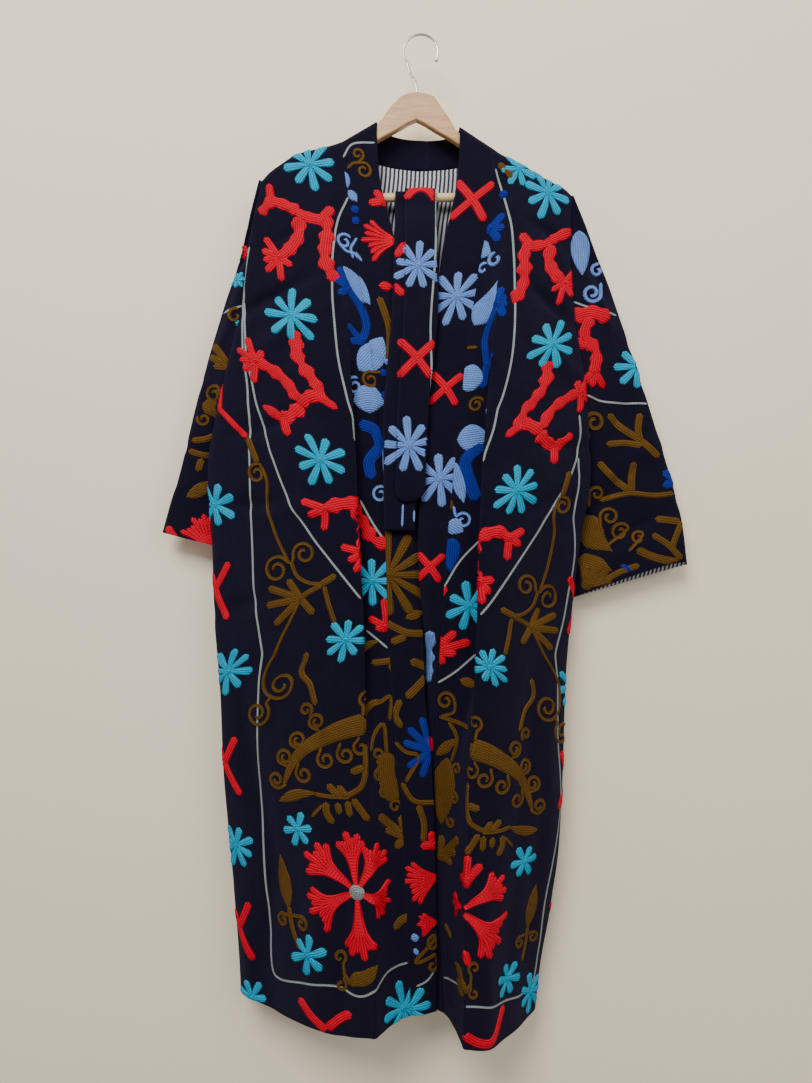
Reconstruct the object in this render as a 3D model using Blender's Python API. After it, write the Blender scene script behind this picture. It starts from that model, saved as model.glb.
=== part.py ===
"""Long lined robe with a neckband, hung open on a wooden hanger, its belt over the hanger's bar.

Metres in the scene, millimetres in the tables. X to the viewer's right, front faces -Y, +Z up.
The origin is the inside top of the hanger's hook, where the hanger hangs.
"Right" and "left" in names are the wearer's: the wearer's right side is at -X.
"""
import math

import bpy
import numpy as np

WALL = 2.0          # cloth with its lining, thickness
GAP = 0.3           # space left at a seam
SEAM = 1.3          # between the middles of two walls that meet at an angle, for the same space
RIDGE = 8.5         # radius of the cloth's turn over the hanger's arms
RIM = 0.5           # how far short of the shoulder line each panel's edge stops
LEVEL = -360.0      # below this height the rows of a panel run level
UNDERARM = -500.0   # height of the lowest point of an armhole

# Each front in level sections. side: where the outline turns back; crest: the main forward fold;
# tuck: how far the cloth doubles back under the crest; seam: where the neckband is sewn on;
# edge: the band's free edge; bow: how far the band bulges forward between seam and edge.
FRONT_COLUMNS = ("z", "side_x", "side_y", "crest_x", "crest_y", "tuck",
                 "seam_x", "seam_y", "edge_x", "edge_y", "bow")
FRONT_RIGHT = (
    (-140, -213, -9, -136, -10, 0, -107, -9, -60, -9, 0),
    (-200, -216, -10, -134, -13, 0, -101, -12, -56, -11, 1),
    (-250, -226, -10, -126, -19, 0, -93, -14, -44, -13, 2),
    (-300, -234, -10, -116, -25, 0, -86, -16, -33, -14, 3),
    (-360, -241, -10, -107, -33, 0, -78, -18, -24, -15, 4),
    (-430, -257, -9, -98, -40, 4, -67, -20, -17, -16, 4),
    (-500, -274, -4, -92, -45, 12, -57, -22, -11, -17, 4),
    (-600, -291, -1, -86, -51, 24, -49, -26, -5, -18, 3),
    (-700, -285, 0, -82, -54, 26, -46, -29, 2, -20, 3),
    (-800, -282, 0, -76, -56, 22, -43, -31, 3, -22, 3),
    (-850, -278, 0, -75, -57, 16, -40, -33, 3, -25, 3),
    (-900, -274, 0, -74, -58, 9, -37, -34, 5, -27, 3),
    (-1000, -270, 0, -71, -59, 1, -31, -36, 14, -29, 3),
    (-1100, -262, 2, -66, -61, 0, -22, -36, 18, -28, 3),
    (-1200, -253, 4, -62, -64, 0, -18, -34, 20, -26, 3),
    (-1270, -248, 6, -60, -66, 0, -15, -32, 20, -24, 3),
    (-1345, -245, 8, -60, -68, 0, -12, -30, 21, -22, 3),
)
FRONT_LEFT = (
    (-140, 206, -9, 132, -10, 0, 98, -9, 53, -9, 0),
    (-200, 205, -10, 128, -14, 0, 98, -12, 50, -11, 1),
    (-250, 203, -10, 121, -21, 0, 92, -14, 40, -13, 2),
    (-300, 202, -10, 113, -28, 0, 82, -16, 29, -14, 3),
    (-360, 206, -10, 104, -36, 0, 71, -18, 22, -17, 4),
    (-430, 215, -9, 95, -46, 5, 61, -22, 16, -20, 4),
    (-500, 226, -4, 88, -53, 13, 53, -24, 10, -23, 4),
    (-600, 232, -1, 80, -60, 26, 42, -28, 2, -27, 4),
    (-700, 217, 0, 75, -65, 28, 33, -30, -4, -30, 5),
    (-800, 205, 0, 72, -68, 22, 26, -29, 3, -31, 6),
    (-850, 200, 0, 70, -70, 16, 23, -27, 9, -15, 4),
    (-900, 197, 0, 67, -71, 9, 20, -25, 2, -4, 2),
    (-1000, 194, 0, 63, -73, 1, 18, -21, -14, 0, 0),
    (-1100, 189, 2, 58, -75, 0, 20, -19, -16, 2, 0),
    (-1200, 177, 4, 55, -79, 0, 24, -18, -14, 3, 0),
    (-1270, 165, 6, 54, -81, 0, 28, -17, -10, 4, 0),
    (-1345, 157, 8, 54, -83, 0, 32, -16, -6, 4, 0),
)

# The line of each shoulder along the hanger's arm, and each hem, as x and z.
SHOULDER_RIGHT = ((-216, -201), (-206, -190), (-188, -177), (-170, -166), (-142, -158),
                  (-126, -154), (-107, -147.5), (-90, -137), (-72, -125), (-60, -120))
SHOULDER_LEFT = ((53, -127), (70, -136), (90, -150), (98, -157), (106, -163), (134, -178),
                 (167, -198), (196, -213), (206, -222))
HEM_RIGHT = ((-245, -1314), (-122, -1334), (-62, -1334), (-28, -1327), (0, -1324), (20, -1324))
HEM_LEFT = ((-16, -1322), (8, -1324), (34, -1331), (54, -1338), (76, -1345), (110, -1346),
            (145, -1340), (157, -1338))
HEM_BACK = ((-245, -1314), (-100, -1320), (0, -1323), (90, -1330), (157, -1338))

# The top edge of the back: shoulder, the curve of the neck, shoulder.
BACK_TOP = (
    (-216, 0, -201), (-206, 0, -190), (-188, 0, -177), (-170, 0, -166), (-142, 0, -158),
    (-126, 0, -154), (-111, 0, -149.4), (-101, 8, -155.4), (-86, 15, -161.6), (-58, 20, -169.3),
    (-30, 22, -174.3), (0, 22.5, -176.3), (28, 22, -175.8), (54, 20, -173.4), (78, 15.5, -170),
    (90, 10, -167.8), (104, 0, -161.7), (113, 0, -166.6), (134, 0, -178), (167, 0, -198),
    (196, 0, -213), (206, 0, -222),
)
# The back in level sections: depth at four places from the wearer's right side to the left.
BACK_COLUMNS = ("z", "y_right", "y_mid_right", "y_middle", "y_mid_left", "y_left")
BACK = (
    (-140, 9, 10, 22, 10, 9), (-180, 9, 12, 22.5, 12, 9), (-230, 10, 15, 21, 15, 10),
    (-300, 10, 16, 21, 16, 10), (-400, 10, 15, 22, 16, 10), (-500, 8, 12, 23, 14, 8),
    (-600, 6, 11, 24, 12, 6), (-720, 6, 12, 25, 12, 6), (-860, 8, 20, 25, 19, 8),
    (-1000, 8, 24, 27, 22, 8), (-1150, 11, 27, 30, 24, 11), (-1345, 16, 32, 35, 28, 16),
)
# The neckband's run round the back of the neck, as sewn edge and free edge, from each shoulder.
NECK_RIGHT = (
    (-106, 4.6, -147.2, -59.6, 4.2, -121), (-101.5, 8, -150.6, -57.5, 8, -122.5),
    (-85, 15, -158.8, -50, 13.5, -126.5), (-58, 20, -167.8, -36, 17.5, -130.5),
    (-30, 22, -172.8, -18, 19, -133.5), (8.85, 22.5, -174.8, 8.85, 20, -135),
)
NECK_LEFT = (
    (98.5, 4.6, -157.2, 52.6, 4.2, -127.8), (91, 10, -164.6, 50.5, 8, -129),
    (76, 15.5, -167.9, 44, 13.5, -131.5), (54, 20, -171.8, 34, 17.5, -133.5),
    (28, 22, -174.4, 22, 19, -134.6), (9.15, 22.5, -174.8, 9.15, 20, -135),
)

# Each sleeve in rings from armhole to cuff: its top fold, its under fold and half its depth.
SLEEVE_COLUMNS = ("top_x", "top_y", "top_z", "under_x", "under_y", "under_z", "half")
SLEEVE_RIGHT = (
    (-219.5, 0, -203, -277, 4.2, -500, 5),
    (-250, 6, -308, -285, 5.6, -507, 6),
    (-283, 11, -412, -292, 9, -519, 8),
    (-306, 14.5, -487, -296, 17, -543, 9),
    (-322, 16.5, -550, -264, 26, -590, 9),
    (-334, 18, -598, -232, 30, -640, 9),
    (-348, 19, -642, -203, 32, -687, 9),
    (-359, 20, -681, -176, 31, -728, 9),
)
SLEEVE_LEFT = (
    (209.5, 0, -224, 229.5, 4.2, -500, 5),
    (223, 2, -254, 232.5, 4.8, -507, 5.5),
    (240, 4, -296, 235.5, 5.8, -515, 6),
    (257, 6, -338, 238, 7.4, -524, 6.5),
    (275, 9, -388, 240, 11, -536, 7),
    (294, 12, -438, 238, 17, -554, 7.5),
    (314, 14, -500, 227, 24, -584, 8),
    (334, 16, -563, 212, 29, -628, 9),
    (352, 18, -621, 196, 31, -678, 9.5),
    (364, 19, -670, 183, 32, -732, 10),
    (371, 20, -726, 173, 31.5, -786, 10),
)
# Which sections, counted from the armhole, each sleeve has a ring at, and how far the front
# wall's edge is drawn up at the left cuff.
SLEEVE_RIGHT_STEPS = (0, 0.5, 1, 2, 3, 3.5, 4, 4.5, 5, 5.5, 6, 6.5, 7)
SLEEVE_LEFT_STEPS = tuple(i * 10 / 14 for i in range(15))
CUFF_LIFT = 13.0
MERGE = 0.32         # share of a sleeve's sections over which it leaves the armhole's own shape

# The belt's run in the plane across the bar: depth, height, and the shift and width of the strip.
BELT_COLUMNS = ("y", "z", "middle_x", "width")
BELT = (
    (-39.0, -641, -18, 13), (-39.4, -637, -17, 27), (-39.6, -628, -15, 38), (-39.6, -598, -13.5, 39),
    (-38, -540, -12, 41), (-36.4, -505, -10, 42), (-33.6, -440, -4, 44), (-30, -371, 0, 46),
    (-25.5, -310, 0, 44), (-18.5, -262, -0.5, 43), (-12.2, -236, -0.5, 43), (-10.9, -222, -0.5, 43),
    (-7.7, -214.3, -0.5, 43), (0, -211.1, -0.5, 43), (7.7, -214.3, -0.5, 43),
    (10.9, -222, -1, 43), (11.2, -260, -2, 43), (12.4, -400, -3, 43), (13.0, -560, -4, 43),
    (12.6, -590, -4.5, 43), (10.6, -595.5, -5, 43), (8.6, -590, -5.5, 43), (8.4, -560, -6, 43),
    (8.1, -400, -9, 43), (7.7, -260, -11.5, 43), (7.6, -222, -13, 43), (5.4, -216.6, -13.2, 43),
    (0, -214.4, -13.5, 43), (-5.4, -216.6, -13.5, 43), (-7.6, -222, -13.5, 43),
    (-8.6, -236, -13.5, 43), (-14.6, -262, -14, 43), (-21.4, -310, -15.5, 43),
    (-26.2, -371, -17, 43), (-29.8, -440, -22, 43), (-32.8, -505, -28, 43), (-34, -540, -29, 43),
    (-35.6, -598, -29, 42), (-36, -640, -29, 42), (-36.4, -679, -28.5, 40),
)

# The wooden hanger's outline: x, top and underside.
WOOD = (
    (-206, -206, -229), (-203, -198, -234.5), (-197, -191.5, -237.5), (-184, -181.5, -237),
    (-180, -179, -232.5), (-178, -177.8, -216), (-172, -174, -202.5), (-150, -165.5, -191),
    (-126, -162, -179), (-107, -157.5, -170), (-88, -147, -161), (-74, -135.5, -153),
    (-61, -126, -147), (-52, -115, -142), (-41, -99, -136), (-27, -85, -128.5), (-16, -80.5, -122),
    (-6, -79.5, -117.5), (5, -80.5, -123), (18, -85, -131), (29, -101, -137.5),
    (39, -115, -143), (48, -131, -149), (60, -141.5, -156), (75, -151, -166), (98, -166.5, -183),
    (120, -177.5, -194.5), (145, -191, -206), (159, -199, -212.5), (163, -201.5, -216.5),
    (165, -203, -233), (169, -205.5, -238), (184, -214.5, -240.5), (192, -222, -239),
    (197, -230, -234),
)
WOOD_HALF = 6.0
BAR_RADIUS = 6.0
BAR_Z = -222.0
BAR_ENDS = (-177.5, 162.5)
WIRE_RADIUS = 1.75
HOOK_RADIUS = 23.75


def smooth(at, places, values):
    """A smooth curve through table values, without overshoot, read at any places."""
    places = np.asarray(places, float)
    values = np.asarray(values, float)
    if places[0] > places[-1]:
        places, values = places[::-1], values[::-1]
    steps = np.diff(places)
    rises = np.diff(values) / steps
    slopes = np.zeros(len(values))
    slopes[0], slopes[-1] = rises[0], rises[-1]
    same_sign = rises[:-1] * rises[1:] > 0
    blend = 2.0 * rises[:-1] * rises[1:] / np.where(same_sign, rises[:-1] + rises[1:], 1.0)
    slopes[1:-1] = np.where(same_sign, blend, 0.0)
    at = np.clip(np.asarray(at, float), places[0], places[-1])
    span = np.clip(np.searchsorted(places, at) - 1, 0, len(steps) - 1)
    width = steps[span]
    t = (at - places[span]) / width
    return ((2 * t**3 - 3 * t**2 + 1) * values[span] + (t**3 - 2 * t**2 + t) * width * slopes[span]
            + (3 * t**2 - 2 * t**3) * values[span + 1] + (t**3 - t**2) * width * slopes[span + 1])


def curve_through(points, counts):
    """Points along a rounded curve through control points, a number of steps for each span."""
    points = np.asarray(points, float)
    lengths = np.maximum(np.linalg.norm(np.diff(points, axis=0), axis=1), 1e-6) ** 0.5
    knots = np.concatenate([[0.0], np.cumsum(lengths)])
    slopes = np.zeros_like(points)
    chords = np.diff(points, axis=0) / lengths[:, None]
    slopes[0], slopes[-1] = chords[0], chords[-1]
    for i in range(1, len(points) - 1):
        slopes[i] = (chords[i - 1] * lengths[i] + chords[i] * lengths[i - 1])
        slopes[i] /= lengths[i - 1] + lengths[i]
    result = [points[0]]
    for i, count in enumerate(counts):
        for step in range(1, count + 1):
            t = step / count
            width = knots[i + 1] - knots[i]
            result.append((2 * t**3 - 3 * t**2 + 1) * points[i]
                          + (t**3 - 2 * t**2 + t) * width * slopes[i]
                          + (3 * t**2 - 2 * t**3) * points[i + 1]
                          + (t**3 - t**2) * width * slopes[i + 1])
    return np.array(result)


def read(table, columns, name, z):
    """One named column of a table of sections, at any height."""
    place = columns.index(name)
    return smooth(z, [row[0] for row in table], [row[place] for row in table])


def along(line, x, place=1):
    """Height, or another column, of a line given as x and values."""
    return smooth(x, [row[0] for row in line], [row[place] for row in line])


def turn_over_ridge(drop):
    """Share of the full depth reached at a drop below the shoulder line: a quarter round."""
    t = np.clip(drop / RIDGE, 0.0, 1.0)
    return np.sqrt(1.0 - (1.0 - t) ** 2)


TOP_ROWS = (0.0, 0.006, 0.021, 0.046, 0.12, 0.23, 0.36, 0.5, 0.66, 0.83)
LOW_ROWS = tuple(i / 15 for i in range(16))


def row_height(top, hem, row):
    """Height of a row: from the shoulder line to the level line, then to the hem."""
    if row < 1.0:
        return top + (LEVEL - top) * row
    return LEVEL + (hem - LEVEL) * (row - 1.0)


ROWS = TOP_ROWS + tuple(1.0 + r for r in LOW_ROWS)


def side_roll(z, tip):
    """How far the cloth has rolled back at the side: none at the shoulder's tip, then whole."""
    t = np.clip((tip - z) / 42.0, 0.0, 1.0)
    return t * t * (3 - 2 * t)


def front_features(table, tip, z):
    """Named places across one front at a height, from the side to the seam of the band."""
    def get(name):
        return read(table, FRONT_COLUMNS, name, z)

    side = np.array([get("side_x"), get("side_y")])
    crest = np.array([get("crest_x"), get("crest_y")])
    seam = np.array([get("seam_x"), get("seam_y")])
    tuck = get("tuck")
    out = 1.0 if crest[0] > side[0] else -1.0
    roll = side_roll(z, tip)
    join = side + np.array([out * (2.6 * roll - 1.8), 4.5 * roll])
    share = np.clip(tuck / 16.0, 0.0, 1.0)
    under = crest + (seam - crest) * np.array([0.38, 0.55])
    under = under + np.array([-out * (tuck + 0.38 * abs(seam[0] - crest[0]) * share), 3.0 * share])
    strip = crest + (seam - crest) * np.array([0.7, 0.86])
    strip = strip + np.array([-out * 0.35 * tuck, 3.5 * share])
    reach = crest - side
    near = side + reach * np.array([0.3, 0.44])
    far = side + reach * np.array([0.7, 0.86]) - np.array([0.0, 1.5])
    lip = crest + np.array([-out * 6.0, -0.6]) * share + (far - crest) * 0.12 * (1 - share)
    turn = crest + np.array([-out * 3.6, 6.6]) * share + (under - crest) * 0.3 * (1 - share)
    inner = under + np.array([out * 2.0, 5.0]) * share + (strip - under) * 0.35 * (1 - share)
    front = crest + np.array([0.0, 2.2]) * share
    sewn = seam + (strip - seam) / np.linalg.norm(strip - seam) * SEAM
    return [join, side, near, far, lip, front, turn, under, inner, strip, sewn]


FRONT_COUNTS = (2, 4, 4, 3, 2, 2, 2, 2, 2, 2)


def hung_point(feature, z, top_line, hem_line, row):
    """Settle a feature on its row, since the shoulder line and the hem change with x."""
    for _ in range(4):
        x = feature(z)[0]
        z = row_height(along(top_line, x), along(hem_line, x), row)
    x, y = feature(z)
    return np.array([x, y, z])


def lay_over_ridge(points, heights, depths, row, sign):
    """Bring the top rows of a panel in over the shoulder line."""
    for point in points:
        top = along(heights, point[0])
        share = turn_over_ridge((top - LEVEL) * row)
        edge = max(sign * along(depths, point[0]), RIM) * sign
        point[1] = edge + (point[1] - edge) * share
        point[2] = row_height(top, 0.0, row)


def front_panel(table, top_line, hem_line):
    """Middle surface of one front, a grid of points by row and across."""
    ends = [along(top_line, row[0]) for row in (top_line[0], top_line[-1])]
    tip = min(ends)
    grid = []
    for row in ROWS:
        start = row_height(-150.0, -1330.0, row)
        controls = []
        for i in range(len(FRONT_COUNTS) + 1):
            controls.append(hung_point(lambda z, i=i: front_features(table, tip, z)[i],
                                       start, top_line, hem_line, row))
        points = curve_through(controls, FRONT_COUNTS)
        if row < 1.0:
            lay_over_ridge(points, top_line, [(x, 0.0) for x, _ in top_line], row, -1.0)
        grid.append(points)
    return np.array(grid)


BAND_COUNTS = (3, 3)


def band(table, top_line, hem_line, neck):
    """Middle surface of one half of the neckband: round the neck, then down the front."""
    out = 1.0 if table[0][8] > table[0][6] else -1.0
    grid = []
    for sewn_x, sewn_y, sewn_z, free_x, free_y, free_z in reversed(neck):
        sewn = np.array([sewn_x, sewn_y, sewn_z])
        free = np.array([free_x, free_y, free_z])
        middle = (sewn + free) / 2 + np.array([0.0, 0.8, 0.0])
        grid.append(curve_through([sewn, middle, free], BAND_COUNTS))
    free_top = along(top_line, neck_point(top_line, out))
    for row in ROWS:
        start = row_height(-140.0, -1330.0, row)

        def sewn_place(z):
            return np.array([read(table, FRONT_COLUMNS, "seam_x", z),
                             read(table, FRONT_COLUMNS, "seam_y", z)])

        def free_place(z):
            return np.array([read(table, FRONT_COLUMNS, "edge_x", z),
                             read(table, FRONT_COLUMNS, "edge_y", z)])

        sewn = hung_point(sewn_place, start, top_line, hem_line, row)
        sewn[1] *= turn_over_ridge(along(top_line, sewn[0]) - sewn[2])
        z = row_height(free_top, along(hem_line, free_place(-1330.0)[0]), row)
        x, y = free_place(z)
        y = y * turn_over_ridge(free_top - z) if y < 0 else y
        free = np.array([x, y, z])
        bow = read(table, FRONT_COLUMNS, "bow", z)
        middle = (sewn + free) / 2 - np.array([0.0, bow, 0.0])
        if row == 0.0:
            sewn[1], free[1], middle[1] = 0.0, 0.0, 0.0
        grid.append(curve_through([sewn, middle, free], BAND_COUNTS))
    return np.array(grid)


def neck_point(top_line, out):
    """The end of a shoulder line that is at the neck."""
    ends = (top_line[0][0], top_line[-1][0])
    return max(ends) if out > 0 else min(ends)


def side_join(table, tip, z):
    """Where a side seam runs at a height, and where the outline is."""
    features = front_features(table, tip, z)
    return features[0], features[1]


def armhole_share(z):
    """One beside the armhole, nothing at the side seam under it."""
    t = np.clip((z - UNDERARM - 4.0) / 40.0, 0.0, 1.0)
    return t * t * (3 - 2 * t)


def back_features(z):
    """Named places across the back at a height."""
    right_tip, left_tip = SHOULDER_RIGHT[0][1], SHOULDER_LEFT[-1][1]
    places = []
    for table, tip, name, sign in ((FRONT_RIGHT, right_tip, "y_right", 1.0),
                                   (FRONT_LEFT, left_tip, "y_left", -1.0)):
        join, side = side_join(table, tip, z)
        share = armhole_share(z)
        depth = read(BACK, BACK_COLUMNS, name, z)
        low_join = join + np.array([0.0, 0.8])
        low_side = np.array([side[0] + sign * 4.0, depth + 2.2])
        high_join = np.array([side[0] + sign * 6.0, depth])
        high_side = np.array([side[0] + sign * 12.0, depth + 0.3])
        places.append((low_join + (high_join - low_join) * share,
                       low_side + (high_side - low_side) * share))
    (right_join, right_side), (left_join, left_side) = places
    width = left_side - right_side

    def across(share, name):
        return np.array([right_side[0] + width[0] * share, read(BACK, BACK_COLUMNS, name, z)])

    names = ("y_right", "y_mid_right", "y_middle", "y_mid_left", "y_left")
    depth = [float(read(BACK, BACK_COLUMNS, name, z)) for name in names]
    near_right = np.array([right_side[0] + width[0] * 0.12, depth[0] * 0.55 + depth[1] * 0.45])
    near_left = np.array([right_side[0] + width[0] * 0.88, depth[4] * 0.55 + depth[3] * 0.45])
    return [right_join, right_side, near_right, across(0.27, "y_mid_right"),
            across(0.5, "y_middle"), across(0.73, "y_mid_left"), near_left,
            left_side, left_join]


BACK_COUNTS = (2, 2, 3, 4, 4, 3, 2, 2)


def back_panel():
    """Middle surface of the back, below the shoulders and the curve of the neck."""
    top_heights = [(row[0], row[2]) for row in BACK_TOP]
    top_depths = [(row[0], row[1]) for row in BACK_TOP]
    grid = []
    for row in ROWS:
        z = row_height(-160.0, -1325.0, row)
        controls = []
        for place in range(len(BACK_COUNTS) + 1):
            level = z
            for _ in range(4):
                x = back_features(level)[place][0]
                level = row_height(along(top_heights, x), along(HEM_BACK, x), row)
            x, y = back_features(level)[place]
            controls.append(np.array([x, y, level]))
        points = curve_through(controls, BACK_COUNTS)
        if row < 1.0:
            lay_over_ridge(points, top_heights, top_depths, row, 1.0)
        grid.append(points)
    return np.array(grid)


def lining_back_panel():
    """The striped lining just inside the back, from under the neckband to above the hem."""
    keep = back_panel()[4:-1, 4:-4]
    inward = grid_normals(keep, False)
    inward *= -np.sign(inward[:, :, 1:2])
    clear = np.full(len(keep), 1.3)
    clear[:2] = (GAP, 0.8)
    return keep + inward * (0.5 * WALL + clear + 0.5)[:, None, None]


def armhole_loop(table, tip, count):
    """Edge of an armhole, down its front and up its back, outside both panels by a seam's gap."""
    out = -1.0 if table[0][1] < 0 else 1.0
    loop = []
    for i in range(count):
        angle = 2 * math.pi * i / count
        share = (1 - math.cos(angle)) / 2
        z = tip + (UNDERARM - tip) * share
        join, side = side_join(table, tip, z)
        low = np.clip((share - 0.85) / 0.15, 0.0, 1.0)
        if angle <= math.pi:
            roll = side_roll(z, tip)
            point = join + np.array([out * (1 - roll) * 2.2, min(1.0, roll * 2.5) * 1.9])
        else:
            features = back_features(z)
            point = features[0] if out < 0 else features[-1]
            corner = max(0.0, 1.0 - abs(z - 0.93 * UNDERARM) / 50.0)
            point = point + np.array([out * (1.4 + 2.4 * corner), 0.0])
        apart = 3.0 * math.sqrt(1.0 - low ** 3) * (-1.0 if angle <= math.pi else 1.0)
        point[0] += (join[0] + out * 3.0 - point[0]) * low
        point[1] += (4.2 + apart - point[1]) * min(1.0, 3.0 * low)
        point[1] *= turn_over_ridge(tip - z)
        loop.append((point[0], point[1], z))
    return np.array(loop)


def sleeve(rows, table, tip, steps, count, cuff_lift):
    """Middle surface of a sleeve, rings of points from the armhole to the cuff."""
    loop = armhole_loop(table, tip, count)
    places = np.arange(len(rows))
    grid = []
    first = None
    for at in steps:
        value = [float(smooth(at, places, column)) for column in zip(*rows)]
        section = dict(zip(SLEEVE_COLUMNS, value))
        top = np.array([section["top_x"], section["top_y"], section["top_z"]])
        under = np.array([section["under_x"], section["under_y"], section["under_z"]])
        ring = []
        for i in range(count):
            angle = 2 * math.pi * i / count
            share = (1 - math.cos(angle)) / 2
            bulge = abs(math.sin(angle)) ** 0.75
            point = top + (under - top) * share
            point[1] += (-1.0 if angle <= math.pi else 1.0) * section["half"] * bulge
            if angle <= math.pi:
                point[2] += cuff_lift * bulge * max(0.0, at / places[-1] - 0.8) * 5.0 * (1 - share)
            ring.append(point)
        ring = np.array(ring)
        if first is None:
            first = loop - ring
        fade = max(0.0, 1.0 - at / (MERGE * len(rows))) ** 1.8
        grid.append(ring + first * fade)
    return np.array(grid)


def cuff_lining(grid):
    """The striped lining just inside the last part of a sleeve."""
    part = grid[-4:].copy()
    outward = grid_normals(part, True)
    inner = part - outward * (0.5 * WALL + 0.4 + 0.5)
    inner[-1, :, 2] += 1.5
    return inner


def grid_normals(points, closed):
    """Unit directions square to a grid of points."""
    down = np.gradient(points, axis=0)
    if closed:
        over = (np.roll(points, -1, axis=1) - np.roll(points, 1, axis=1)) / 2
    else:
        over = np.gradient(points, axis=1)
    normal = np.cross(over, down)
    return normal / np.maximum(np.linalg.norm(normal, axis=2), 1e-9)[:, :, None]


def colour(name, rgb, roughness):
    """A plain material for one solid."""
    made = bpy.data.materials.new(name)
    made.use_nodes = True
    shader = made.node_tree.nodes["Principled BSDF"]
    shader.inputs["Base Color"].default_value = (*rgb, 1.0)
    shader.inputs["Roughness"].default_value = roughness
    return made


def add_solid(name, points, faces, material):
    """Make one named solid from points in millimetres."""
    mesh = bpy.data.meshes.new(name)
    mesh.from_pydata([tuple(p * 0.001) for p in points], [], faces)
    mesh.materials.append(material)
    for face in mesh.polygons:
        face.use_smooth = True
    mesh.validate()
    made = bpy.data.objects.new(name, mesh)
    robe.objects.link(made)
    return made


def signed_volume(points, faces):
    """Volume of a closed set of faces: negative where they point inward."""
    total = 0.0
    for face in faces:
        for i in range(1, len(face) - 1):
            a, b, c = points[face[0]], points[face[i]], points[face[i + 1]]
            total += np.dot(a, np.cross(b, c))
    return total / 6


def add_cloth(name, grid, material, thickness=WALL, closed=False):
    """A wall of even thickness about a grid of middle points."""
    normals = grid_normals(grid, closed)
    rows, across = grid.shape[:2]
    outer = grid + normals * thickness / 2
    inner = grid - normals * thickness / 2
    points = np.concatenate([outer.reshape(-1, 3), inner.reshape(-1, 3)])
    base = rows * across
    faces = []
    last = across if closed else across - 1
    for j in range(rows - 1):
        for i in range(last):
            n = (i + 1) % across
            a, b, c, d = j * across + i, j * across + n, (j + 1) * across + n, (j + 1) * across + i
            one_way = np.linalg.norm(points[a] - points[c]) <= np.linalg.norm(points[b] - points[d])
            for p, q, r in ((a, b, c), (a, c, d)) if one_way else ((a, b, d), (b, c, d)):
                faces.append((p, q, r))
                faces.append((base + r, base + q, base + p))
    for i in range(last):
        n = (i + 1) % across
        end = (rows - 1) * across
        faces.append((i, base + i, base + n, n))
        faces.append((end + n, base + end + n, base + end + i, end + i))
    if not closed:
        for j in range(rows - 1):
            a, b = j * across, (j + 1) * across
            faces.append((b, base + b, base + a, a))
            a, b = a + across - 1, b + across - 1
            faces.append((a, base + a, base + b, b))
    if signed_volume(points, faces) < 0:
        faces = [face[::-1] for face in faces]
    return add_solid(name, points, faces, material)


def belt_surface():
    """Middle surface of the belt along its run over the bar."""
    grid = []
    for row in BELT:
        place = dict(zip(BELT_COLUMNS, row))
        grid.append([(place["middle_x"] + place["width"] * share, place["y"], place["z"])
                     for share in (-0.5, 0.0, 0.5)])
    return np.array(grid, float)


def add_wood(material):
    """The hanger's flat wooden body, its outline rounded at the faces."""
    top = np.array([(x, z) for x, z, _ in WOOD], float)
    low = np.array([(x, z) for x, _, z in WOOD], float)[::-1]
    outline = np.concatenate([top, low])
    ahead = np.roll(outline, -1, axis=0) - outline
    behind = outline - np.roll(outline, 1, axis=0)
    turn = np.stack([ahead[:, 1], -ahead[:, 0]], 1) / np.linalg.norm(ahead, axis=1)[:, None]
    turn_behind = np.stack([behind[:, 1], -behind[:, 0]], 1)
    turn_behind /= np.linalg.norm(behind, axis=1)[:, None]
    inward = turn + turn_behind
    inward /= np.linalg.norm(inward, axis=1)[:, None]
    layers = ((-WOOD_HALF, 2.0), (-WOOD_HALF + 0.7, 0.7), (-WOOD_HALF + 2.2, 0.0),
              (WOOD_HALF - 2.2, 0.0), (WOOD_HALF - 0.7, 0.7), (WOOD_HALF, 2.0))
    points = []
    for y, inset in layers:
        shape = outline + inward * inset
        points += [np.array([x, y, z]) for x, z in shape]
    count = len(outline)
    faces = []
    for layer in range(len(layers) - 1):
        for i in range(count):
            n = (i + 1) % count
            a, b = layer * count + i, layer * count + n
            faces.append((a, b, b + count, a + count))
    half = len(WOOD)
    end = (len(layers) - 1) * count
    for i in range(half - 1):
        a, b, c, d = i, i + 1, count - 2 - i, count - 1 - i
        faces.append((a, d, c, b))
        faces.append((end + a, end + b, end + c, end + d))
    points = np.array(points)
    if signed_volume(points, faces) < 0:
        faces = [face[::-1] for face in faces]
    return add_solid("hanger_wood", points, faces, material)


def add_round_run(name, path, radii, sides, material):
    """A round bar along a path, closed at both ends."""
    path = np.asarray(path, float)
    ahead = np.gradient(path, axis=0)
    ahead /= np.linalg.norm(ahead, axis=1)[:, None]
    points = []
    side = np.array([0.0, 1.0, 0.0])
    for place, way, radius in zip(path, ahead, radii):
        first = side - way * np.dot(side, way)
        first /= np.linalg.norm(first)
        second = np.cross(way, first)
        for i in range(sides):
            angle = 2 * math.pi * i / sides
            points.append(place + (first * math.cos(angle) + second * math.sin(angle)) * radius)
    rows = len(path)
    start, finish = len(points), len(points) + 1
    points += [path[0], path[-1]]
    faces = []
    for j in range(rows - 1):
        for i in range(sides):
            n = (i + 1) % sides
            faces.append((j * sides + i, j * sides + n, (j + 1) * sides + n, (j + 1) * sides + i))
    for i in range(sides):
        n = (i + 1) % sides
        faces.append((start, n, i))
        faces.append((finish, (rows - 1) * sides + i, (rows - 1) * sides + n))
    points = np.array(points)
    if signed_volume(points, faces) < 0:
        faces = [face[::-1] for face in faces]
    return add_solid(name, points, faces, material)


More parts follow.
